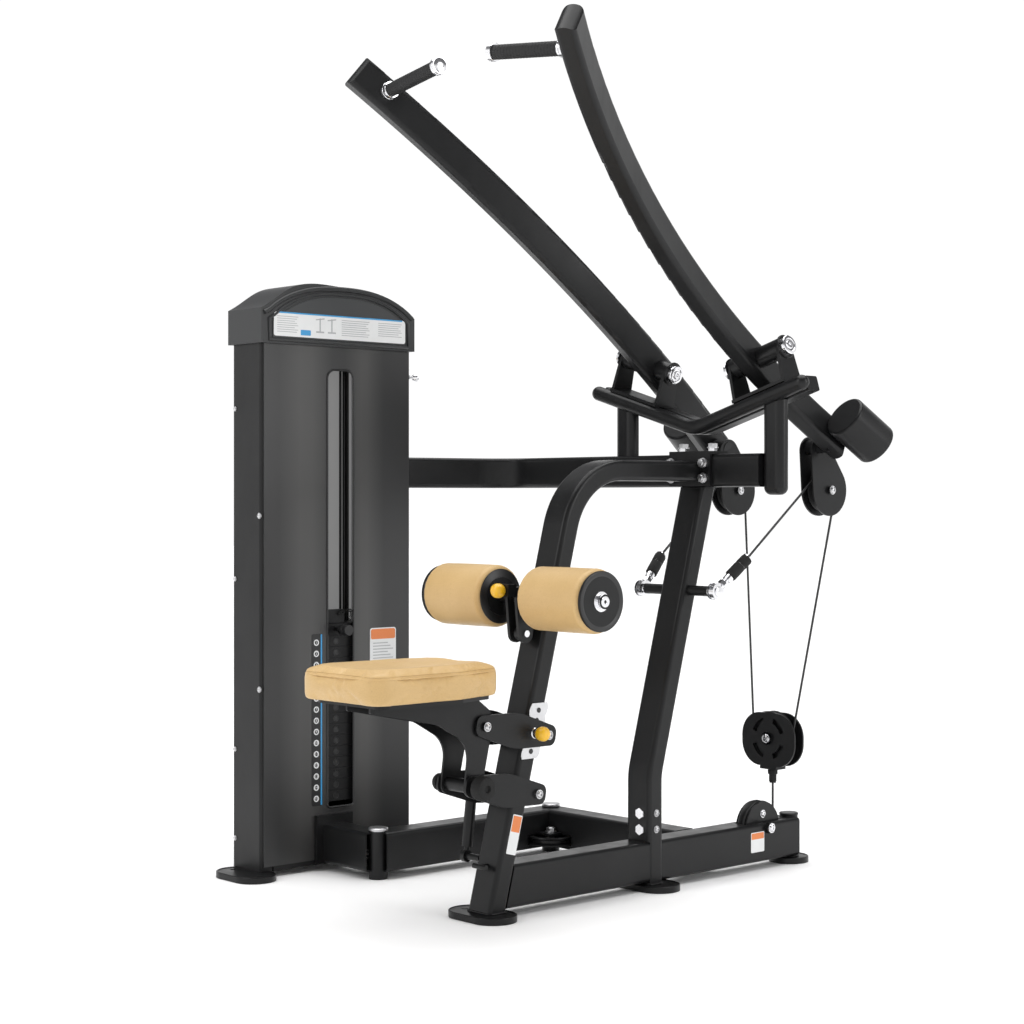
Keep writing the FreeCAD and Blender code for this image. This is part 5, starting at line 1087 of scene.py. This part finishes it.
# labels on the seat post and the centre beam
lean_x = Vector((math.cos(LEAN), 0, -math.sin(LEAN)))
lean_z = Vector((math.sin(LEAN), 0, math.cos(LEAN)))
spot = at(post_mid(150) - 12, -40.05, 150)
Stock().prism(rounded([(0, 0), (30, 0), (30, 92), (0, 92)], 3, 4), spot, lean_x, lean_z, 0.5).make(
    "post_label", WHITE, "frame", "pin_black")
Stock().prism(rounded([(2, 52), (28, 52), (28, 89), (2, 89)], 2, 4), spot - Y * 0.5 * MM, lean_x,
              lean_z, 0.35).make("post_label_band", ORANGE, "frame", "pin_black")
spot = at(893, -38.05, 48)
Stock().prism(rounded([(0, 0), (52, 0), (52, 52), (0, 52)], 3, 4), spot, X, Z, 0.5).make(
    "beam_label", WHITE, "frame", "pin_black")
Stock().prism(rounded([(2, 34), (50, 34), (50, 50), (2, 50)], 2, 4), spot - Y * 0.5 * MM, X, Z,
              0.35).make("beam_label_band", ORANGE, "frame", "pin_black")

# ------------------------------------------------------------------ tower cap front
cap_y = (low("tower_cap").y - DATUM.y) / MM
left, right, foot_z, crown = -113.0, 389.0, 1365.0, 1524.0


def arch(inset, bottom, steps=28):
    """Arched outline on the cap's front: square foot, round shoulders, low crown."""
    a, b = left + inset, right - inset
    top = crown - inset * 0.9
    points = [(a, bottom), (b, bottom)]
    for k in range(steps + 1):
        t = k / steps
        x = b + (a - b) * t
        lift = 1 - abs(2 * t - 0.96) ** 2.5
        points.append((x, top - 74 + 74 * max(0.0, lift) ** 0.85))
    return points


panel = arch(34, 1380)
Stock().prism(panel, at(0, cap_y - 0.05, 0), X, Z, 2.2).make(
    "cap_panel", CAP_PANEL, "frame", "cap_plastic", bevel=0.8)
rim = [at(a, cap_y - 1.0, b) for a, b in arch(24, 1374)]
Stock().tube(rim, 4.2, 10, closed=True).make("cap_rim", CAP, "frame", "cap_plastic", smooth=60)
lip = [at(a, cap_y + 1.0, b) for a, b in arch(9, 1369)[2:]]
Stock().tube(lip, 7.0, 12).make("cap_lip", CAP, "frame", "cap_plastic", smooth=60)
sheet = rounded([(-76, 1384), (354, 1384), (354, 1446), (-76, 1446)], [6, 6, 10, 10], 5)
Stock().prism(sheet, at(0, cap_y - 2.3, 0), X, Z, 0.8).make(
    "cap_placard", WHITE, "frame", "cap_plastic")
Stock().prism([(-66, 1442.5), (344, 1442.5), (344, 1446.2), (-66, 1446.2)],
              at(0, cap_y - 3.1, 0), X, Z, 0.3).make("cap_placard_line", BLUE, "frame",
                                                      "cap_plastic")
ink = Stock()
for x0, x1, rows in ((-66, 0, 8), (140, 232, 8), (262, 342, 7)):
    for k in range(rows):
        z = 1434 - 5.6 * k
        end = x1 - (11 if k % 3 == 2 else 4 * (k % 2))
        ink.prism([(x0, z), (end, z), (end, z + 1.7), (x0, z + 1.7)], at(0, cap_y - 3.1, 0), X, Z,
                  0.25)
for cx in (70, 108):
    ink.prism(rounded([(cx - 13, 1398), (cx + 13, 1398), (cx + 13, 1402), (cx - 13, 1402)], 1, 3),
              at(0, cap_y - 3.1, 0), X, Z, 0.25)
    ink.prism(rounded([(cx - 2, 1400), (cx + 2, 1400), (cx + 2, 1436), (cx - 2, 1436)], 1, 3),
              at(0, cap_y - 3.15, 0), X, Z, 0.25)
    ink.prism(rounded([(cx - 14, 1430), (cx + 14, 1434), (cx + 14, 1437), (cx - 14, 1433)], 1, 3),
              at(0, cap_y - 3.2, 0), X, Z, 0.25)
ink.make("cap_placard_ink", GREY_INK, "frame", "cap_plastic")
Stock().prism(rounded([(8, 1389), (40, 1389), (40, 1403), (8, 1403)], 2, 4),
              at(0, cap_y - 3.1, 0), X, Z, 0.3).make("cap_placard_key", BLUE, "frame",
                                                      "cap_plastic")

# ------------------------------------------------------------------ selector pin and lanyard
head = middle("selector_pin")
tip = low("selector_pin").y
Stock().lathe([(0, 0), (13.6, 0), (14.6, 2), (14.6, 12), (12.5, 15), (13.8, 18), (14.6, 24),
               (14.6, 30), (12, 34), (6.5, 34), (6.2, 40)],
              Vector((head.x, tip - 1 * MM, head.z)), Y, 40).make(
    "selector_knob", ROLLER_CAP, "selector_pin_body", "pin_black")
block = Stock().prism(rounded([(112, 640), (172, 640), (172, 676), (112, 676)], 5, 4),
                      at(0, 768, 0), X, Z, 20)
block.make("head_clamp", BLACK, "top_plate_body", "stack_iron", bevel=1.0)
coil = []
for k in range(150):
    t = k / 149
    angle = 2 * math.pi * 11 * t
    base_point = Vector((head.x + (8 + 26 * math.sin(math.pi * t)) * MM, tip + 0.016 + 0.042 * t,
                         head.z + 0.016 + 0.024 * t + 0.02 * math.sin(math.pi * t)))
    coil.append(base_point + Vector((math.cos(angle), 0, math.sin(angle))) * 0.0038)
Stock().tube(coil, 1.1, 6).make("selector_lanyard", RUBBER, "selector_pin_body", "pin_black")

# ------------------------------------------------------------------ edges on CAD pieces
for name in ("pivot_brackets", "saddle_bracket", "side_base_frame", "foot_plates", 
             "upper_link", "lower_link", "seat_carrier", "floating_carriage", "middle_upright",
             "roller_bracket", "weight_plates", "top_plate", "arm_posts"):
    soften(NODES[name], 0.9)
soften(NODES["tower_cap"], 9.0, 4)

# ------------------------------------------------------------------ studio
floor = bpy.data.meshes.new("floor")
floor.from_pydata([(-30, -30, -0.0005), (30, -30, -0.0005), (30, 30, -0.0005),
                   (-30, 30, -0.0005)], [], [(0, 1, 2, 3)])
ground = bpy.data.objects.new("floor", floor)
bpy.context.scene.collection.objects.link(ground)
pale = Paint("pale floor", Specular_IOR_Level=0.1)
pale_tone = pale.fade(pale.noise(0.6, 2.0), 0.3, 0.7)
floor.materials.append(pale.finish(Base_Color=pale.blend(pale_tone, (0.955, 0.955, 0.955),
                                                         (0.975, 0.975, 0.975)), Roughness=0.7))

scene = bpy.context.scene
world = bpy.data.worlds.new("studio")
scene.world = world
world.use_nodes = True
sky = world.node_tree
spot = sky.nodes.new("ShaderNodeTexCoord")
split = sky.nodes.new("ShaderNodeSeparateXYZ")
band = sky.nodes.new("ShaderNodeValToRGB")
band.color_ramp.elements[0].position = 0.30
band.color_ramp.elements[0].color = (1.04, 1.04, 1.04, 1)
band.color_ramp.elements[1].position = 0.42
band.color_ramp.elements[1].color = (0.16, 0.16, 0.165, 1)
sky.links.new(spot.outputs["Generated"], split.inputs[0])
sky.links.new(split.outputs["Z"], band.inputs[0])
sky.links.new(band.outputs[0], sky.nodes["Background"].inputs[0])
sky.nodes["Background"].inputs[1].default_value = 1.0
scene.view_settings.view_transform = "Standard"
scene.view_settings.look = "None"
scene.view_settings.exposure = 0.0


def lamp(name, kind, spot, target, energy, **settings):
    light = bpy.data.lights.new(name, kind)
    light.energy = energy
    for key, value in settings.items():
        setattr(light, key, value)
    holder = bpy.data.objects.new(name, light)
    holder.location = spot
    holder.rotation_euler = (Vector(target) - Vector(spot)).to_track_quat("-Z", "Y").to_euler()
    scene.collection.objects.link(holder)


lamp("overhead", "SUN", (0.6, 0.5, 6.0), (0, 0, 0), 3.2, angle=math.radians(70))
lamp("front left", "AREA", (-3.6, 0.8, 3.0), (0, 0.1, 0.9), 48, shape="RECTANGLE", size=1.6,
     size_y=2.6)
lamp("right rim", "AREA", (1.6, -3.8, 2.4), (0, 0, 1.0), 42, shape="RECTANGLE", size=1.0,
     size_y=2.8)

camera_data = bpy.data.cameras.new("camera")
camera = bpy.data.objects.new("camera", camera_data)
scene.collection.objects.link(camera)
scene.camera = camera
EYE = (-3027.0, -3448.0, 970.0)
HEADING = math.radians(42.13)
camera.location = at(*EYE)
camera.rotation_euler = (math.pi / 2, 0, -HEADING)
camera_data.sensor_width = 36.0
camera_data.lens = 69.93
camera_data.shift_y = -0.0139
camera_data.clip_end = 100.0
